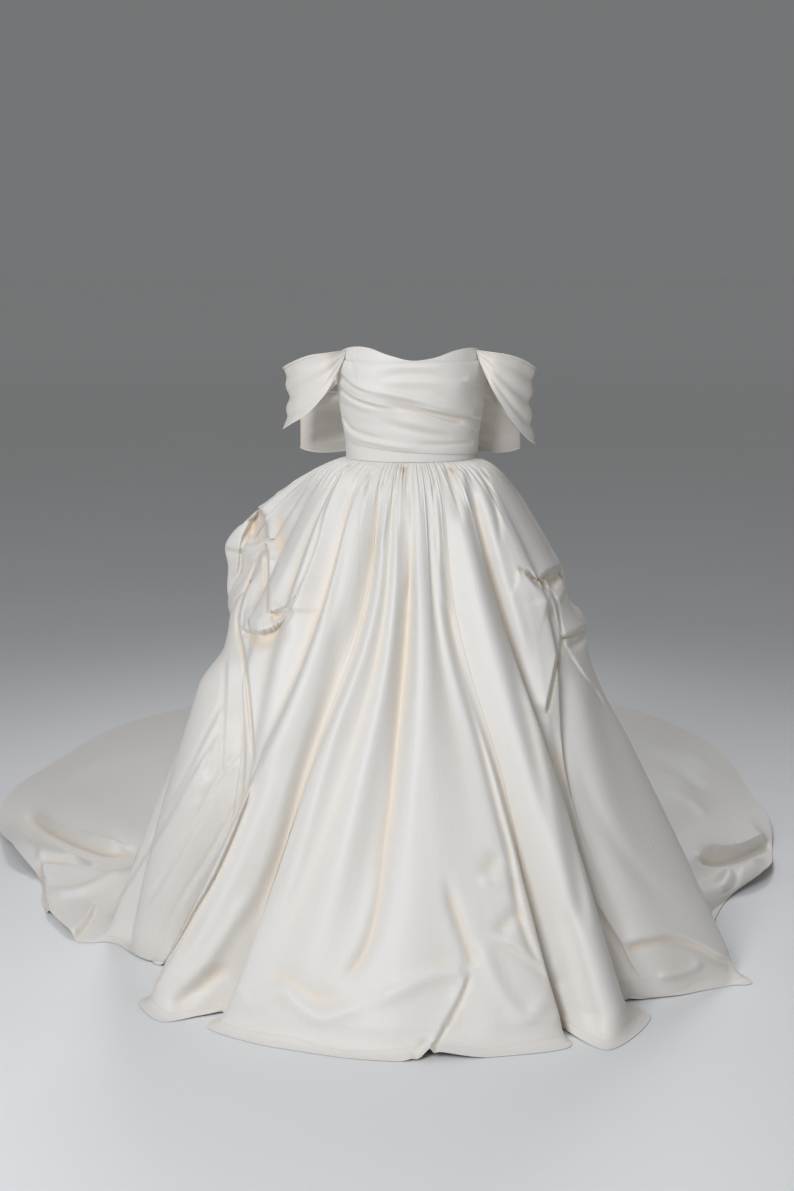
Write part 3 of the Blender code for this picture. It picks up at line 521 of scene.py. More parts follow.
def ring_columns():
    """Fold positions of the ring's columns, closer together where the front is seen."""
    names = [fold.name for fold in FOLDS]
    first = names.index(FRONT_FIRST)
    last = names.index(FRONT_LAST)
    at = []
    for row in range(len(FOLDS)):
        count = FRONT_COLUMNS if first <= row < last else BACK_COLUMNS
        at.extend(row + np.arange(count) / count)
    return np.array(at)


# Ranges of a gather's width in folds, its depth and lean, and the lengths it may have
GATHER_WIDTHS = (0.13, 0.30)
GATHER_DEPTHS = (0.0030, 0.0075)
GATHER_LEANS = (-0.5, 0.5)
GATHER_LENGTHS = [0.022, 0.035, 0.055, 0.090, 0.140]
GATHER_MEAN = 0.0012


def gathers(at, drop):
    """Small gathers at the waist seam, uneven in place, depth and length."""
    random = np.random.default_rng(7)
    out = np.zeros(np.broadcast(at, drop).shape)
    place = 0.0
    while place < len(FOLDS):
        width = random.uniform(*GATHER_WIDTHS)
        depth = random.uniform(*GATHER_DEPTHS) * (width / 0.22) ** 0.5
        length = random.choice(GATHER_LENGTHS) * random.uniform(0.8, 1.3)
        lean = random.uniform(*GATHER_LEANS)
        across = (at - place - lean * drop + len(FOLDS) / 2) % len(FOLDS) - len(FOLDS) / 2
        spread = width * (0.55 + 2.2 * drop)
        fade = np.exp(-(drop / length) ** 1.3) * soft_step((drop + 0.004) / 0.012)
        out += depth * np.exp(-(across / spread) ** 2) * fade
        place += width * random.uniform(1.6, 2.6)
    return out - GATHER_MEAN


RIPPLES = 26
RIPPLE_HEIGHT = 0.0026


def cloth_ripple(at, drop):
    """Slow unevenness of a heavy cloth, so that no fold is a plain curve."""
    random = np.random.default_rng(11)
    out = np.zeros(np.broadcast(at, drop).shape)
    for _ in range(RIPPLES):
        turns = random.integers(6, 34)
        phase = random.uniform(0, 2 * np.pi, 2)
        pace = random.uniform(2.0, 9.0)
        amount = random.uniform(0.4, 1.0) * RIPPLE_HEIGHT / (1 + turns / 24)
        swing = random.uniform(0.3, 1.6)
        turned = 2 * np.pi * turns * at / len(FOLDS) + phase[0] + swing * np.sin(pace * drop + phase[1])
        out += amount * np.cos(turned)
    return out * soft_step(drop / 0.10)


Bulge = namedtuple("Bulge", "degrees half_span drop half_drop out")
BULGES = [
    Bulge(-100, 24, 0.335, 0.085, 0.030),
    Bulge(-96, 18, 0.215, 0.035, 0.012),
]


def bulge_out(degrees, drop):
    """Places where the draped hips stand further out than their folds."""
    total = np.zeros(np.broadcast(degrees, drop).shape)
    for bulge in BULGES:
        across = np.clip((degrees - bulge.degrees) / bulge.half_span, -1, 1)
        down = np.clip((drop - bulge.drop) / bulge.half_drop, -1, 1)
        total += bulge.out * np.cos(across * np.pi / 2) ** 2 * np.cos(down * np.pi / 2) ** 2
    return total


Calm = namedtuple("Calm", "degrees half_span drop half_drop")
CALM = [
    Calm(-84, 26, 0.25, 0.24),
    Calm(86, 30, 0.24, 0.25),
]
CALM_COLUMNS = 26


def bell_weights(size):
    """Weights of a smoothing over a number of rows or columns."""
    weights = np.exp(-(np.arange(-2 * size, 2 * size + 1) / size) ** 2)
    return weights / weights.sum()


def calmed(radius, degrees, drop):
    """Smooth round the hips, where the drapes are broad and only their edges are sharp."""
    share = np.zeros(radius.shape)
    for calm in CALM:
        across = soft_step((1 - np.abs(degrees - calm.degrees) / calm.half_span) * 2.5)
        down = soft_step((1 - np.abs(drop - calm.drop) / calm.half_drop) * 3)
        share = np.maximum(share, across * down)
    weights = bell_weights(CALM_COLUMNS)
    padded = np.pad(radius, ((0, 0), (2 * CALM_COLUMNS, 2 * CALM_COLUMNS)), mode="wrap")
    smooth = sum(w * padded[:, k:k + radius.shape[1]] for k, w in enumerate(weights))
    return radius + share * (smooth - radius)


def drop_levels():
    """Drops of the ring's rows, closer together at the waist and at the floor."""
    share = np.linspace(0, 1, DROP_ROWS)
    return BREAK_DROP * (0.45 * share + 0.55 * share ** 1.35)


def skirt_ring():
    """Points of the whole skirt and train, and the fold position of each of their columns."""
    at = ring_columns()[None, :]
    drop = drop_levels()[:, None]
    flat = at[0]
    degrees = level_value([fold_column(n, flat, 360) for n in ("waist", "hip", "knee", "floor")], drop)
    outs = [fold_column(n, flat) for n in ("hip_out", "knee_out", "floor_out")]
    out = level_value([0 * flat] + outs, drop)
    out = out + fold_column("puff", flat) * puff_share(degrees, drop) + cowl_out(degrees, drop)
    out = out + bulge_out(degrees, drop)
    out = out + gathers(at, drop) + cloth_ripple(at, drop)
    radius = calmed(bell_radius(degrees, drop) + out, degrees, drop)
    angle = np.radians(degrees)
    height = np.broadcast_to(-drop, radius.shape)
    hung = np.stack([radius * np.sin(angle), -radius * np.cos(angle), height], axis=-1)
    start = hung[-1]
    hem_x = fold_column("hem_x", flat)
    hem_y = fold_column("hem_y", flat)
    lift = np.maximum(fold_column("lift", flat), 0)
    run = np.hypot(hem_x - start[:, 0], hem_y - start[:, 1])
    gone = np.linspace(0, 1, RUN_ROWS + 1)[1:, None] ** RUN_POWER
    x = start[:, 0] + (hem_x - start[:, 0]) * gone
    y = start[:, 1] + (hem_y - start[:, 1]) * gone
    bend = np.maximum(3.0, run / CORNER_REACH)
    rest = (np.exp(-bend * gone) - np.exp(-bend)) / (1 - np.exp(-bend))
    top = -FLOOR_DROP + CLOTH + FLOOR_CLEAR
    z = (top + lift) * (1 - rest) - BREAK_DROP * rest
    laid = np.stack([x, y, z], axis=-1)
    return np.concatenate([hung, laid]), flat


def blurred(grid, size, closed):
    """Grid smoothed over a number of rows and columns."""
    weights = bell_weights(size)
    padded = np.pad(grid, ((2 * size, 2 * size), (0, 0), (0, 0)), mode="reflect", reflect_type="odd")
    rows = sum(w * padded[k:k + len(grid)] for k, w in enumerate(weights))
    mode = {"mode": "wrap"} if closed else {"mode": "reflect", "reflect_type": "odd"}
    padded = np.pad(rows, ((0, 0), (2 * size, 2 * size), (0, 0)), **mode)
    return sum(w * padded[:, k:k + grid.shape[1]] for k, w in enumerate(weights))


def painted_shade_share(grid, normals, closed):
    """How far each point lies in a hollow, from 0 to 1, where the cloth is given a warmer, darker colour as
    painted shade.
    """
    if closed:
        step = np.linalg.norm(np.roll(grid, -1, axis=1) - grid, axis=-1)
    else:
        step = np.linalg.norm(np.gradient(grid, axis=1), axis=-1)
    total = np.zeros(grid.shape[:2])
    for size, steepness in ((3, 0.30), (9, 0.32)):
        sunk = ((blurred(grid, size, closed) - grid) * normals).sum(-1)
        total += 0.6 * np.clip(sunk / (steepness * size * step + 0.0006), 0, 1)
    return np.clip(total, 0, 1)


def turned_under(count, before, after):
    """Rows of a sheet with some repeated under each end, and which of them lie under."""
    back = np.arange(before, -1, -1)
    on = np.arange(count - 1, count - 2 - after, -1)
    under = np.concatenate([np.ones(len(back)), np.zeros(count), np.ones(len(on))])
    return np.concatenate([back, np.arange(count), on]), under


def make_sheet_object(name, outer, normals, coordinates, painted_shade, turned):
    """Cloth from a grid, its four edges turned under by counts of rows and columns."""
    rows, columns = outer.shape[:2]
    top, bottom, first, last = turned
    row, under_row = turned_under(rows, top, bottom)
    column, under_column = turned_under(columns, first, last)
    place = np.ix_(row, column)
    under = np.maximum(under_row[:, None], under_column[None, :])
    points = outer[place] - normals[place] * (CLOTH * under)[..., None]
    rows, columns = under.shape
    index = np.arange(rows * columns).reshape(rows, columns)
    corners = [index[:-1, :-1], index[1:, :-1], index[1:, 1:], index[:-1, 1:]]
    faces = np.stack(corners, axis=-1).reshape(-1, 4)
    mesh = bpy.data.meshes.new(name)
    mesh.from_pydata(points.reshape(-1, 3).tolist(), [], faces.tolist())
    layer = mesh.uv_layers.new(name="cloth")
    spots = np.zeros(len(mesh.loops), int)
    mesh.loops.foreach_get("vertex_index", spots)
    layer.data.foreach_set("uv", coordinates[place].reshape(-1, 2)[spots].ravel())
    # Mask of painted shade, which darkens and warms the satin's colour in the hollows
    tint = mesh.attributes.new("painted_shade", "FLOAT", "POINT")
    tint.data.foreach_set("value", painted_shade[place].ravel())
    mesh.shade_smooth()
    mesh.set_sharp_from_angle(angle=math.radians(80))
    mesh.materials.append(satin)
    piece = bpy.data.objects.new(name, mesh)
    bpy.context.scene.collection.objects.link(piece)
    return piece


def declare(piece, node):
    """Hang a piece under the root body and hide the imported part that it replaces."""
    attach(piece, "root")
    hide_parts(node)


SATIN_COLOUR = (0.780, 0.750, 0.704)
# Warmer, darker colour mixed in for random mottle and as painted shade in the hollows
SATIN_MOTTLE_AND_SHADE = (0.780, 0.680, 0.560)
SATIN_ROUGHNESS = 0.50


def start_material(name):
    """New material, with its node maker, its linker and its shader."""
    material = bpy.data.materials.new(name)
    material.use_nodes = True
    tree = material.node_tree

    def add(kind, values):
        node = tree.nodes.new("ShaderNode" + kind)
        set_inputs(node, values)
        return node

    return material, add, tree.links.new, tree.nodes["Principled BSDF"]


def set_inputs(node, values):
    """Set a node's sockets by name."""
    for name, value in values.items():
        node.inputs[name].default_value = value


def colour_mix(add, first, second):
    """Node that blends two colours by its factor."""
    node = add("Mix", {})
    node.data_type = "RGBA"
    for socket, colour in (("A", first), ("B", second)):
        if colour:
            node.inputs[socket].default_value = (*colour, 1.0)
    return node


def map_range(add, from_range, to_range):
    """Node that carries one range of values to another."""
    (low, high), (least, most) = from_range, to_range
    return add("MapRange", {"From Min": low, "From Max": high, "To Min": least, "To Max": most})


def make_satin():
    """Ivory mikado satin: fine twill, faint slubs both ways, a soft sheen, and painted shade in the
    hollows.
    """
    material, add, link, shader = start_material("ivory_satin")
    shader.inputs["Sheen Weight"].default_value = 0.08
    shader.inputs["Sheen Roughness"].default_value = 0.45
    shader.inputs["Sheen Tint"].default_value = (1.0, 0.97, 0.92, 1.0)
    shader.inputs["Specular IOR Level"].default_value = 0.40
    shader.inputs["Anisotropic"].default_value = 0.25
    uv = add("UVMap", {})
    uv.uv_map = "cloth"

    def stretched(scale_x, scale_y, detail):
        mapping = add("Mapping", {"Scale": (scale_x, scale_y, 1.0)})
        noise = add("TexNoise", {})
        noise.noise_dimensions = "2D"
        set_inputs(noise, {"Scale": 1.0, "Detail": detail})
        link(uv.outputs["UV"], mapping.inputs["Vector"])
        link(mapping.outputs["Vector"], noise.inputs["Vector"])
        return noise.outputs["Fac"]

    def combine(first, second, operation, clamp=False):
        node = add("Math", {})
        node.operation = operation
        node.use_clamp = clamp
        for socket, value in zip(node.inputs, (first, second)):
            if isinstance(value, float):
                socket.default_value = value
            else:
                link(value, socket)
        return node.outputs["Value"]

    warp = stretched(900, 28, 2)
    weft = stretched(22, 700, 2)
    slub = stretched(140, 5, 3)
    weft_slub = stretched(6, 170, 3)
    mottle = stretched(6, 5, 3)
    weave = combine(combine(warp, weft, "ADD"), 0.5, "MULTIPLY")
    slubs = combine(combine(slub, 1.6, "MULTIPLY"), combine(weft_slub, 1.1, "MULTIPLY"), "ADD")
    bump = add("Bump", {"Strength": 0.42, "Distance": 0.0006})
    link(combine(weave, slubs, "ADD"), bump.inputs["Height"])
    link(bump.outputs["Normal"], shader.inputs["Normal"])
    ramp = map_range(add, (0.3, 0.7), (0.0, 0.3))
    link(combine(combine(mottle, slub, "ADD"), 0.5, "MULTIPLY"), ramp.inputs["Value"])
    painted_shade = add("Attribute", {})
    painted_shade.attribute_name = "painted_shade"
    # Random mottle plus painted shade from the hollow mask
    mottle_and_painted_shade = combine(combine(ramp.outputs["Result"], 0.5, "MULTIPLY"), painted_shade.outputs["Fac"], "ADD", True)
    tangent = add("Tangent", {})
    tangent.direction_type = "UV_MAP"
    tangent.uv_map = "cloth"
    link(tangent.outputs["Tangent"], shader.inputs["Tangent"])
    mix = colour_mix(add, SATIN_COLOUR, SATIN_MOTTLE_AND_SHADE)
    link(mottle_and_painted_shade, mix.inputs["Factor"])
    link(mix.outputs["Result"], shader.inputs["Base Color"])
    rough = map_range(add, (0.3, 0.7), (SATIN_ROUGHNESS - 0.05, SATIN_ROUGHNESS + 0.07))
    link(weave, rough.inputs["Value"])
    link(rough.outputs["Result"], shader.inputs["Roughness"])
    return material


satin = make_satin()

# Width of the hem, and depth of the groove along its stitches
HEM_DEPTH = 0.028
HEM_GROOVE = 0.0006


def hem_line(grid):
    """1 along the stitched line above the hem, where the rows are fine enough to show it."""
    step = gaps(grid, 0)
    left = np.concatenate([np.cumsum(step[::-1], axis=0)[::-1], np.zeros((1, grid.shape[1]))])
    spacing = np.concatenate([step, step[-1:]])
    line = np.exp(-((left - HEM_DEPTH) / np.maximum(0.0016, 0.7 * spacing)) ** 2)
    return line * soft_step((0.009 - spacing) / 0.004)


# Half of the gap at a seam
SEAM_GAP = 0.0002


def build_skirt():
    """Skirt and train panels, cut from one ring of folds."""
    ring, flat = skirt_ring()
    normals = grid_normals(ring, True)
    ring = pressed(ring, normals, SKIRT_CREASES)
    ring[..., 2] = np.maximum(ring[..., 2], -FLOOR_DROP + CLOTH + LEAST_CLEAR)
    normals = grid_normals(ring, True)
    # Painted shade: the deeper a point lies in a hollow, the warmer and darker its colour
    painted_shade = painted_shade_share(ring, normals, True)
    stitched = hem_line(ring)
    ring = ring - normals * (HEM_GROOVE * stitched)[..., None]
    # Painted shade along the hem's stitch line, on top of its real groove
    painted_shade = np.clip(painted_shade + 0.6 * stitched, 0, 1)
    down = running(gaps(ring, 0).mean(axis=1))
    knee = int(np.argmin(np.abs(drop_levels() - KNEE_DROP)))
    step = np.linalg.norm(np.roll(ring[knee], -1, axis=0) - ring[knee], axis=-1)
    across = running(step)
    names = [fold.name for fold in FOLDS]
    count = len(FOLDS)
    for name, begin, finish in SKIRT_PIECES:
        first = names.index(begin)
        last = names.index(finish)
        if last <= first:
            last += count
        low = int(np.searchsorted(flat, first - 1e-9))
        high = int(np.searchsorted(flat, last % count - 1e-9)) + (len(flat) if last >= count else 0)
        columns = np.arange(low, high + 1)
        wrapped = columns % len(flat)
        grid = ring[:, wrapped].copy()
        for end, inside in ((0, 1), (-1, -2)):
            grid[:, end] += unit(grid[:, inside] - grid[:, end]) * SEAM_GAP
        along = across[wrapped] + (columns // len(flat)) * across[-1]
        coordinates = np.stack(np.broadcast_arrays(along[None, :], down[:, None]), axis=-1)
        piece = make_sheet_object(
            name + "_cloth", grid, normals[:, wrapped], coordinates, painted_shade[:, wrapped], (2, 9, 3, 3))
        declare(piece, name)


Section = namedtuple("Section", "height side front back")
BODICE = [Section(*row) for row in (
    (0, .14, .105, .095),
    (.05, .1425, .112, .098),
    (.1, .15, .124, .102),
    (.15, .156, .137, .105),
    (.19, .1575, .142, .107),
    (.25, .154, .133, .108),
)]
Neck = namedtuple("Neck", "degrees height")
NECKLINE = [Neck(*row) for row in (
    (-180, .186),
    (-125, .19),
    (-90, .214),
    (-62, .238),
    (-36, .2415),
    (-16, .226),
    (0, .2165),
    (16, .221),
    (36, .236),
    (62, .238),
    (90, .214),
    (125, .19),
    (180, .186),
)]
BODICE_SEAM_DEGREES = 84
BODICE_GAP_DEGREES = 0.12
BODICE_FOOT = 0.0006


def bodice_point(degrees, height, out):
    """Point of the bodice's outer face, moved out by a distance."""
    heights = [section.height for section in BODICE]
    side = through(heights, [section.side for section in BODICE], height) + out
    front = through(heights, [section.front for section in BODICE], height) + out
    back = through(heights, [section.back for section in BODICE], height) + out
    angle = np.radians(degrees)
    depth = np.where(np.cos(angle) > 0, front, back)
    cup = np.exp(-((np.abs(degrees) - 34) / 20) ** 2)
    cup = 0.010 * cup * np.exp(-((height - 0.165) / 0.050) ** 2)
    x = (side + cup) * np.sin(angle)
    y = -(depth + cup) * np.cos(angle)
    return np.stack(np.broadcast_arrays(x, y, height), axis=-1)


def neck_height(degrees):
    """Height of the bodice's top edge."""
    return through([neck.degrees for neck in NECKLINE], [neck.height for neck in NECKLINE], degrees)


def cloth_coordinates(grid):
    """Distances along and across a grid, for the weave."""
    along = running(gaps(grid, 1).mean(axis=0))
    down = running(gaps(grid, 0).mean(axis=1))
    return np.stack(np.broadcast_arrays(along[None, :], down[:, None]), axis=-1)


def finish_sheet(node, grid, creases):
    """Crease a grid whose rows run from its top to its bottom, and make it a declared sheet."""
    normals = grid_normals(grid, False)
    grid = pressed(grid, normals, creases)
    normals = grid_normals(grid, False)
    # Painted shade in the hollows, carried to the satin's colour
    painted_shade = painted_shade_share(grid, normals, False)
    spots = cloth_coordinates(grid)
    piece = make_sheet_object(node + "_cloth", grid, normals, spots, painted_shade, (2, 2, 1, 1))
    declare(piece, node)


CUP_CREASES = [
    ridge(-.0014, 1.6, .2, .2, [(352, 352), (372, 352), (392, 357)]),
    ridge(-.0012, 1.4, .2, .2, [(350, 356), (364, 355.5), (384, 358)]),
]


def build_bodice():
    """Front and two backs of the bodice, which meet at the side seams and the centre back."""
    seam, gap = BODICE_SEAM_DEGREES, BODICE_GAP_DEGREES
    pieces = [
        ("bodice_back_left", -180 + gap, -seam - gap, 60),
        ("bodice_front", -seam + gap, seam - gap, 130),
        ("bodice_back_right", seam + gap, 180 - gap, 60),
    ]
    share = np.linspace(1, 0, 60)[:, None]
    for name, start, end, columns in pieces:
        degrees = np.linspace(start, end, columns)[None, :]
        height = BODICE_FOOT + (neck_height(degrees) - BODICE_FOOT) * share
        grid = bodice_point(degrees, height, 0.0)
        creases = CUP_CREASES if name == "bodice_front" else []
        finish_sheet(name, grid, creases)


DRAPE_CREASES = [
    edge(.0072, 1.8, 8, .02, .55, [(337, 370), (344, 378), (352, 385), (364, 391), (380, 395)]),
    edge(.0078, 1.8, 8, .02, .5, [(337, 383), (345, 392), (356, 399), (370, 404), (388, 408), (404, 411)]),
    ridge(.0054, 3, .05, .5, [(339, 392), (348, 401), (362, 408), (382, 412)]),
    ridge(.0102, 4, .3, .04, [(362, 390), (384, 393), (402, 397), (420, 401), (438, 406), (456, 409),
        (478, 414)]),
    edge(.0096, 2, 6, .35, .02, [(408, 405), (426, 410), (440, 413), (456, 415.5), (470, 417), (482, 419)]),
    ridge(-.0072, 3.2, .25, .2, [(380, 404), (400, 408), (418, 413), (434, 419), (450, 423), (468, 425)]),
    ridge(.0054, 5, .3, .1, [(392, 417), (420, 425), (446, 431), (476, 434)]),
    ridge(-.0036, 4, .3, .2, [(366, 414), (392, 424), (424, 433), (460, 437)]),
    ridge(-.0041, 4, .3, .2, [(372, 378), (404, 374), (432, 375), (458, 378), (476, 374)]),
    ridge(.0041, 5, .3, .2, [(366, 385), (400, 383), (430, 383), (458, 387), (480, 391)]),
    ridge(-.0029, 3, .3, .1, [(430, 392), (452, 398), (478, 402)]),
    ridge(.0072, 2.8, .04, .4, [(341, 421), (347, 432), (358, 438), (377, 443), (400, 447), (430, 449)]),
    ridge(-.0054, 2.2, .05, .5, [(342, 416), (350, 427), (364, 434), (392, 440)]),
    ridge(-.0041, 2.4, .3, .05, [(412, 443), (430, 444.5), (452, 444), (474, 442)]),
    edge(.0054, 1.8, 6, .3, .02, [(462, 380), (470, 383.5), (482, 387)]),
    edge(.006, 1.8, 6, .3, .02, [(458, 424), (467, 427), (478, 431)]),
    ridge(-.0031, 3, .2, .5, [(351, 360), (353, 371), (351, 380)]),
    ridge(.0041, 5, .3, .3, [(360, 367), (400, 366), (440, 366), (470, 364)]),
]
# Ends of the draped panel round the bodice, its top and lower edges, and how far out it lies
DRAPE_DEGREES = (-76, 82)
DRAPE_TOP = 0.2125
DRAPE_LOW = (0.050, 0.010)
DRAPE_OUT = 0.0042
DrapeFold = namedtuple("DrapeFold", "left_height right_height width out")
DRAPE_FOLDS = [DrapeFold(*row) for row in (
    (.196, .178, .014, .003),
    (.168, .118, .013, .0055),
    (.138, .086, .013, .0045),
    (.108, .06, .012, .004),
    (.08, .034, .012, .0035),
)]


def build_drape():
    """Panel laid over the bodice front in diagonal folds."""
    across = np.linspace(0, 1, 190)[None, :]
    share = np.linspace(1, 0, 110)[:, None]
    degrees = DRAPE_DEGREES[0] + (DRAPE_DEGREES[1] - DRAPE_DEGREES[0]) * across
    low = DRAPE_LOW[0] + (DRAPE_LOW[1] - DRAPE_LOW[0]) * np.sqrt(across)
    height = low + (DRAPE_TOP - low) * share
    out = np.zeros(height.shape)
    for fold in DRAPE_FOLDS:
        crest = fold.left_height + (fold.right_height - fold.left_height) * across
        ends = 0.45 + 0.55 * np.sin(np.pi * across)
        out += 0.6 * fold.out * ends * np.exp(-((height - crest) / fold.width) ** 2)
    roll = np.exp(-((height - DRAPE_TOP) / 0.004) ** 2) + np.exp(-((height - low) / 0.004) ** 2)
    grid = bodice_point(degrees, height, DRAPE_OUT + out - 0.0016 * roll)
    finish_sheet("bodice_drape", grid, DRAPE_CREASES)


Station = namedtuple("Station", "name x y top low")
SLEEVE_LEFT = [Station(*row) for row in (
    ("front", -.176, -.09, .23, .15),
    ("front_side", -.214, -.078, .224, .105),
    ("outer_front", -.256, -.042, .206, .075),
    ("outer", -.275, .004, .192, .06),
    ("outer_back", -.252, .055, .192, .072),
    ("back_side", -.205, .09, .198, .105),
    ("back", -.162, .088, .196, .15),
)]
SLEEVE_RIGHT = [Station(*row) for row in (
    ("front", .172, -.09, .231, .15),
    ("front_side", .202, -.082, .226, .102),
    ("outer_front", .24, -.052, .212, .052),
    ("outer", .268, 0, .19, .028),
    ("outer_back", .252, .052, .19, .045),
    ("back_side", .205, .09, .196, .085),
    ("back", .162, .088, .194, .14),
)]
SleeveFold = namedtuple("SleeveFold", "at_corner at_outer width out")
SLEEVE_FOLDS_LEFT = [SleeveFold(*row) for row in (
    (.75, .86, .1, .005),
    (.45, .52, .11, .008),
    (.22, .2, .09, .005),
)]
SLEEVE_FOLDS_RIGHT = [SleeveFold(*row) for row in (
    (.8, .84, .08, .006),
    (.55, .55, .09, .008),
    (.3, .26, .08, .006),
)]
SLEEVE_CREASES_LEFT = [
    edge(.0145, 2, 9, .04, .3, [(284, 403), (297, 399), (311, 389), (322, 377), (331, 364), (343, 352)]),
    ridge(.0087, 3.6, .2, .3, [(345, 350), (324, 358), (304, 368), (288, 380)]),
    ridge(-.0087, 3, .2, .3, [(342, 355), (324, 365), (309, 377), (290, 388)]),
    ridge(.0072, 3, .2, .4, [(340, 360), (326, 371), (312, 383), (296, 392)]),
    ridge(.0094, 4, .2, .2, [(336, 374), (322, 392), (305, 406), (288, 414)]),
    ridge(-.0065, 2.6, .2, .3, [(330, 382), (315, 396), (298, 406)]),
    ridge(-.009, 6, .3, .25, [(334, 370), (320, 379), (306, 387), (290, 396)]),
]
SLEEVE_CREASES_RIGHT = [
    edge(.0123, 1.8, 7, .1, .2, [(482, 350), (500, 361), (514, 369), (528, 375)]),
    edge(.0145, 1.8, 9, .05, .2, [(483, 353), (494, 368), (508, 386), (522, 399), (536, 409)]),
    ridge(.0109, 3.6, .2, .3, [(484, 364), (494, 383), (506, 402), (518, 416)]),
    ridge(-.0087, 2.8, .2, .4, [(485, 372), (494, 394), (504, 412)]),
    ridge(.0058, 3, .3, .3, [(500, 408), (512, 420), (526, 434)]),
]


def band_grid(stations, columns, rows, start, end):
    """Grid of a cloth band through stations, with its ends given as low and top points."""
    lows = np.array([start[0]] + [(s.x, s.y, s.low) for s in stations] + [end[0]])
    tops = np.array([start[1]] + [(s.x, s.y, s.top) for s in stations] + [end[1]])
    middle = (lows + tops) / 2
    length = running(gaps(middle, 0))
    at = np.linspace(0, length[-1], columns)
    low = np.stack([through(length, lows[:, k], at) for k in range(3)], axis=-1)
    top = np.stack([through(length, tops[:, k], at) for k in range(3)], axis=-1)
    share = np.linspace(1, 0, rows)[:, None, None]
    return low[None] + (top - low)[None] * share, at / length[-1]


def build_sleeve(name, side, stations, folds, creases):
    """Band from the front corner of the bodice round the arm to the back."""
    start = [bodice_point(62 * side, 0.2160, 0.0040), bodice_point(62 * side, 0.2340, 0.0010)]
    end = [bodice_point(118 * side, z, 0.0010) for z in (0.158, 0.186)]
    grid, along = band_grid(stations, 120, 60, start, end)
    share = np.linspace(1, 0, 60)[:, None]
    spread = np.sin(np.pi * along)[None, :]
    out = 0.006 * np.sin(np.pi * share) * spread
    for fold in folds:
        crest = fold.at_corner + (fold.at_outer - fold.at_corner) * spread
        out = out + fold.out * spread * np.exp(-((share - crest) / fold.width) ** 2)
    normals = grid_normals(grid, False) * -side
    grid = grid + normals * out[..., None]
    if side < 0:
        grid = grid[:, ::-1]
    finish_sheet(name, grid[:, ::-1], creases)


BOW_LOOP = [Station(*row) for row in (
    ("knot_front", .0135, .118, .085, .045),
    ("front_near", .055, .112, .108, .02),
    ("front_far", .14, .114, .131, .001),
    ("tip_front", .22, .123, .126, -.002),
    ("tip", .245, .143, .114, .004),
    ("tip_back", .215, .164, .12, .002),
    ("back_far", .14, .17, .12, .008),
    ("back_near", .06, .16, .102, .026),
    ("knot_back", .0135, .14, .083, .047),
)]
BOW_PLEATS = 3
BOW_PLEAT_DEPTH = 0.0055


def build_bow():
    """Two loops, pleated where the knot holds them."""
    for name, side in (("bow_loop_left", -1), ("bow_loop_right", 1)):
        stations = [Station(s.name, s.x * side, s.y, s.top, s.low) for s in BOW_LOOP]
        start = [(stations[0].x, stations[0].y, z) for z in (stations[0].low, stations[0].top)]
        end = [(stations[-1].x, stations[-1].y, z) for z in (stations[-1].low, stations[-1].top)]
        grid, along = band_grid(stations[1:-1], 160, 50, start, end)
        share = np.linspace(1, 0, 50)[:, None]
        near = np.abs(np.cos(np.pi * along)[None, :])
        ends = np.clip(np.minimum(along, 1 - along) / 0.12, 0, 1)[None, :]
        pleat = np.cos(2 * np.pi * BOW_PLEATS * share) * near * ends
        fine = 0.35 * np.cos(2 * np.pi * 7.3 * share + 2.0 * along[None, :]) * near ** 3 * ends
        normals = grid_normals(grid, False) * -side
        grid = grid + normals * (BOW_PLEAT_DEPTH * (pleat + fine))[..., None]
        if side > 0:
            grid = grid[:, ::-1]
        finish_sheet(name, grid, [])


# Half width and half depth of the knot, its place behind the waist, its foot and its height
KNOT_HALF_SIZE = (0.0130, 0.0259)
KNOT_BACK = 0.1261
KNOT_LOW = 0.036
KNOT_HEIGHT = 0.058


def build_knot():
    """Rounded binding with soft creases round it."""
    turn = np.linspace(0, 2 * np.pi, 97)[None, :]
    share = np.linspace(1, 0, 40)[:, None]
    drawn = 0.82 + 0.18 * np.sin(np.pi * share)
    crease = 1 - 0.035 * np.cos(2 * np.pi * 3.5 * share + 0.8 * np.sin(turn)) ** 8
    x, y = (
        half * drawn * crease * np.sign(wave) * np.abs(wave) ** 0.7
        for half, wave in zip(KNOT_HALF_SIZE, (np.cos(turn), np.sin(turn))))
    z = np.broadcast_to(KNOT_LOW + KNOT_HEIGHT * share, x.shape)
    grid = np.stack([x, KNOT_BACK + y, z], axis=-1)
    finish_sheet("bow_knot", grid, [])


STAGE_REACH = 60.0
STAGE_RINGS = 12
STAGE_SPOKES = 96
FLOOR_COLOUR_LOW = (0.790, 0.786, 0.780)
FLOOR_COLOUR_HIGH = (0.845, 0.841, 0.835)
FLOOR_COLOUR_FAR = (0.985, 0.985, 0.985)
FLOOR_ROUGHNESS = (0.65, 0.85)
FLOOR_FADES = (5.0, 22.0)


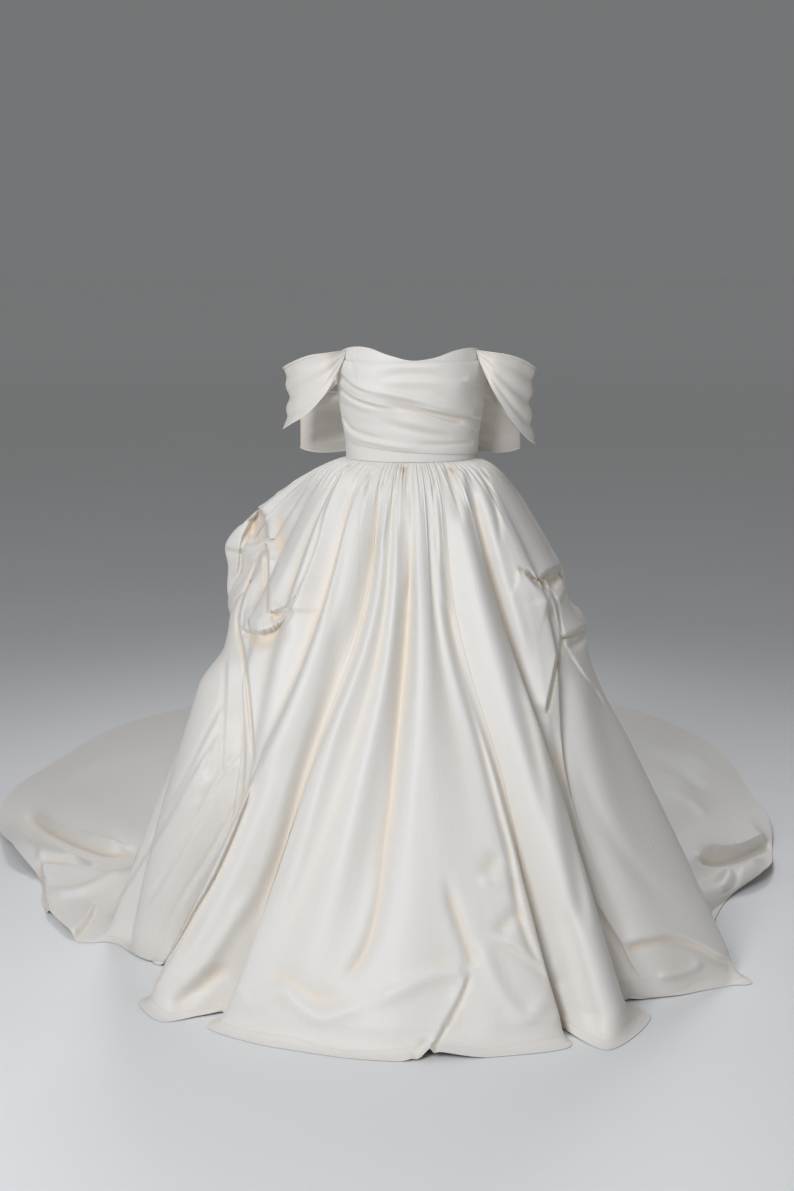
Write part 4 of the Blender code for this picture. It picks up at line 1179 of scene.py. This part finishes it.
def add_stage():
    """Wide pale floor, plain in every direction."""
    vertices = [(0.0, 0.0, -FLOOR_DROP)]
    faces = []
    for ring in range(1, STAGE_RINGS + 1):
        reach = STAGE_REACH * (ring / STAGE_RINGS) ** 2
        for k in range(STAGE_SPOKES):
            turn = 2 * math.pi * k / STAGE_SPOKES
            vertices.append((reach * math.cos(turn), reach * math.sin(turn), -FLOOR_DROP))
    for k in range(STAGE_SPOKES):
        after = (k + 1) % STAGE_SPOKES
        faces.append((0, 1 + k, 1 + after))
        for ring in range(STAGE_RINGS - 1):
            inner = 1 + ring * STAGE_SPOKES
            outer = inner + STAGE_SPOKES
            faces.append((inner + k, outer + k, outer + after, inner + after))
    mesh = bpy.data.meshes.new("floor")
    mesh.from_pydata(vertices, [], faces)
    floor = bpy.data.objects.new("floor", mesh)
    bpy.context.scene.collection.objects.link(floor)
    material, add, link, shader = start_material("studio_floor")
    shader.inputs["Specular IOR Level"].default_value = 0.2
    place = add("NewGeometry", {})
    marks = add("TexNoise", {"Scale": 0.9, "Detail": 4.0})
    link(place.outputs["Position"], marks.inputs["Vector"])
    rough = map_range(add, (0.0, 1.0), FLOOR_ROUGHNESS)
    link(marks.outputs["Fac"], rough.inputs["Value"])
    link(rough.outputs["Result"], shader.inputs["Roughness"])
    away = add("VectorMath", {})
    away.operation = "LENGTH"
    link(place.outputs["Position"], away.inputs[0])
    far = map_range(add, FLOOR_FADES, (0.0, 1.0))
    link(away.outputs["Value"], far.inputs["Value"])
    tone = colour_mix(add, FLOOR_COLOUR_LOW, FLOOR_COLOUR_HIGH)
    pale = colour_mix(add, None, FLOOR_COLOUR_FAR)
    link(marks.outputs["Fac"], tone.inputs["Factor"])
    link(far.outputs["Result"], pale.inputs["Factor"])
    link(tone.outputs["Result"], pale.inputs["A"])
    link(pale.outputs["Result"], shader.inputs["Base Color"])
    mesh.materials.append(material)


KEY_COLOUR = (0.955, 0.99, 1.045)
WORLD_COLOUR = (0.985, 1.0, 1.015)
WORLD_STRENGTH = 0.178
Light = namedtuple("Light", "name place target side power spread")
LIGHTS = [
    Light("key", (-1.7, -4.2, 2.1), (0, 0, -0.45), 1.9, 160, 180),
    Light("top", (-0.3, -0.6, 4.2), (0, 0.3, -0.5), 3.0, 28, 180),
    Light("fill", (4.0, -3.6, 1.4), (0, 0, -0.4), 2.2, 10, 180),
    Light("back", (0.5, 5.2, 3.4), (0, 0.9, -0.7), 1.6, 9, 44),
]


def add_light(row):
    """Soft square light that looks at a target."""
    data = bpy.data.lights.new(row.name, "AREA")
    data.shape = "RECTANGLE"
    data.size = data.size_y = row.side
    data.energy = row.power
    data.color = KEY_COLOUR
    data.spread = math.radians(row.spread)
    light = bpy.data.objects.new(row.name, data)
    light.location = row.place
    aim = Vector(row.target) - Vector(row.place)
    light.rotation_euler = aim.to_track_quat("-Z", "Y").to_euler()
    light.visible_camera = False
    bpy.context.scene.collection.objects.link(light)


def add_lights():
    """Soft key from the front left, a weak fill from the right, and an even grey surround."""
    for row in LIGHTS:
        add_light(row)
    world = bpy.data.worlds.new("studio")
    world.use_nodes = True
    background = world.node_tree.nodes["Background"]
    set_inputs(background, {"Color": (*WORLD_COLOUR, 1), "Strength": WORLD_STRENGTH})
    bpy.context.scene.world = world
    bpy.context.scene.view_settings.view_transform = "Standard"


def add_camera():
    """Camera at the photograph's place and angle."""
    data = bpy.data.cameras.new("camera")
    data.lens = LENS
    data.sensor_width = SENSOR
    camera = bpy.data.objects.new("camera", data)
    camera.location = CAMERA_AT
    camera.rotation_euler = (math.pi / 2 - CAMERA_PITCH, 0, 0)
    bpy.context.scene.collection.objects.link(camera)
    bpy.context.scene.camera = camera


add_camera()
add_stage()
build_skirt()
build_bodice()
build_drape()
build_sleeve("sleeve_left", -1, SLEEVE_LEFT, SLEEVE_FOLDS_LEFT, SLEEVE_CREASES_LEFT)
build_sleeve("sleeve_right", 1, SLEEVE_RIGHT, SLEEVE_FOLDS_RIGHT, SLEEVE_CREASES_RIGHT)
build_bow()
build_knot()
add_lights()
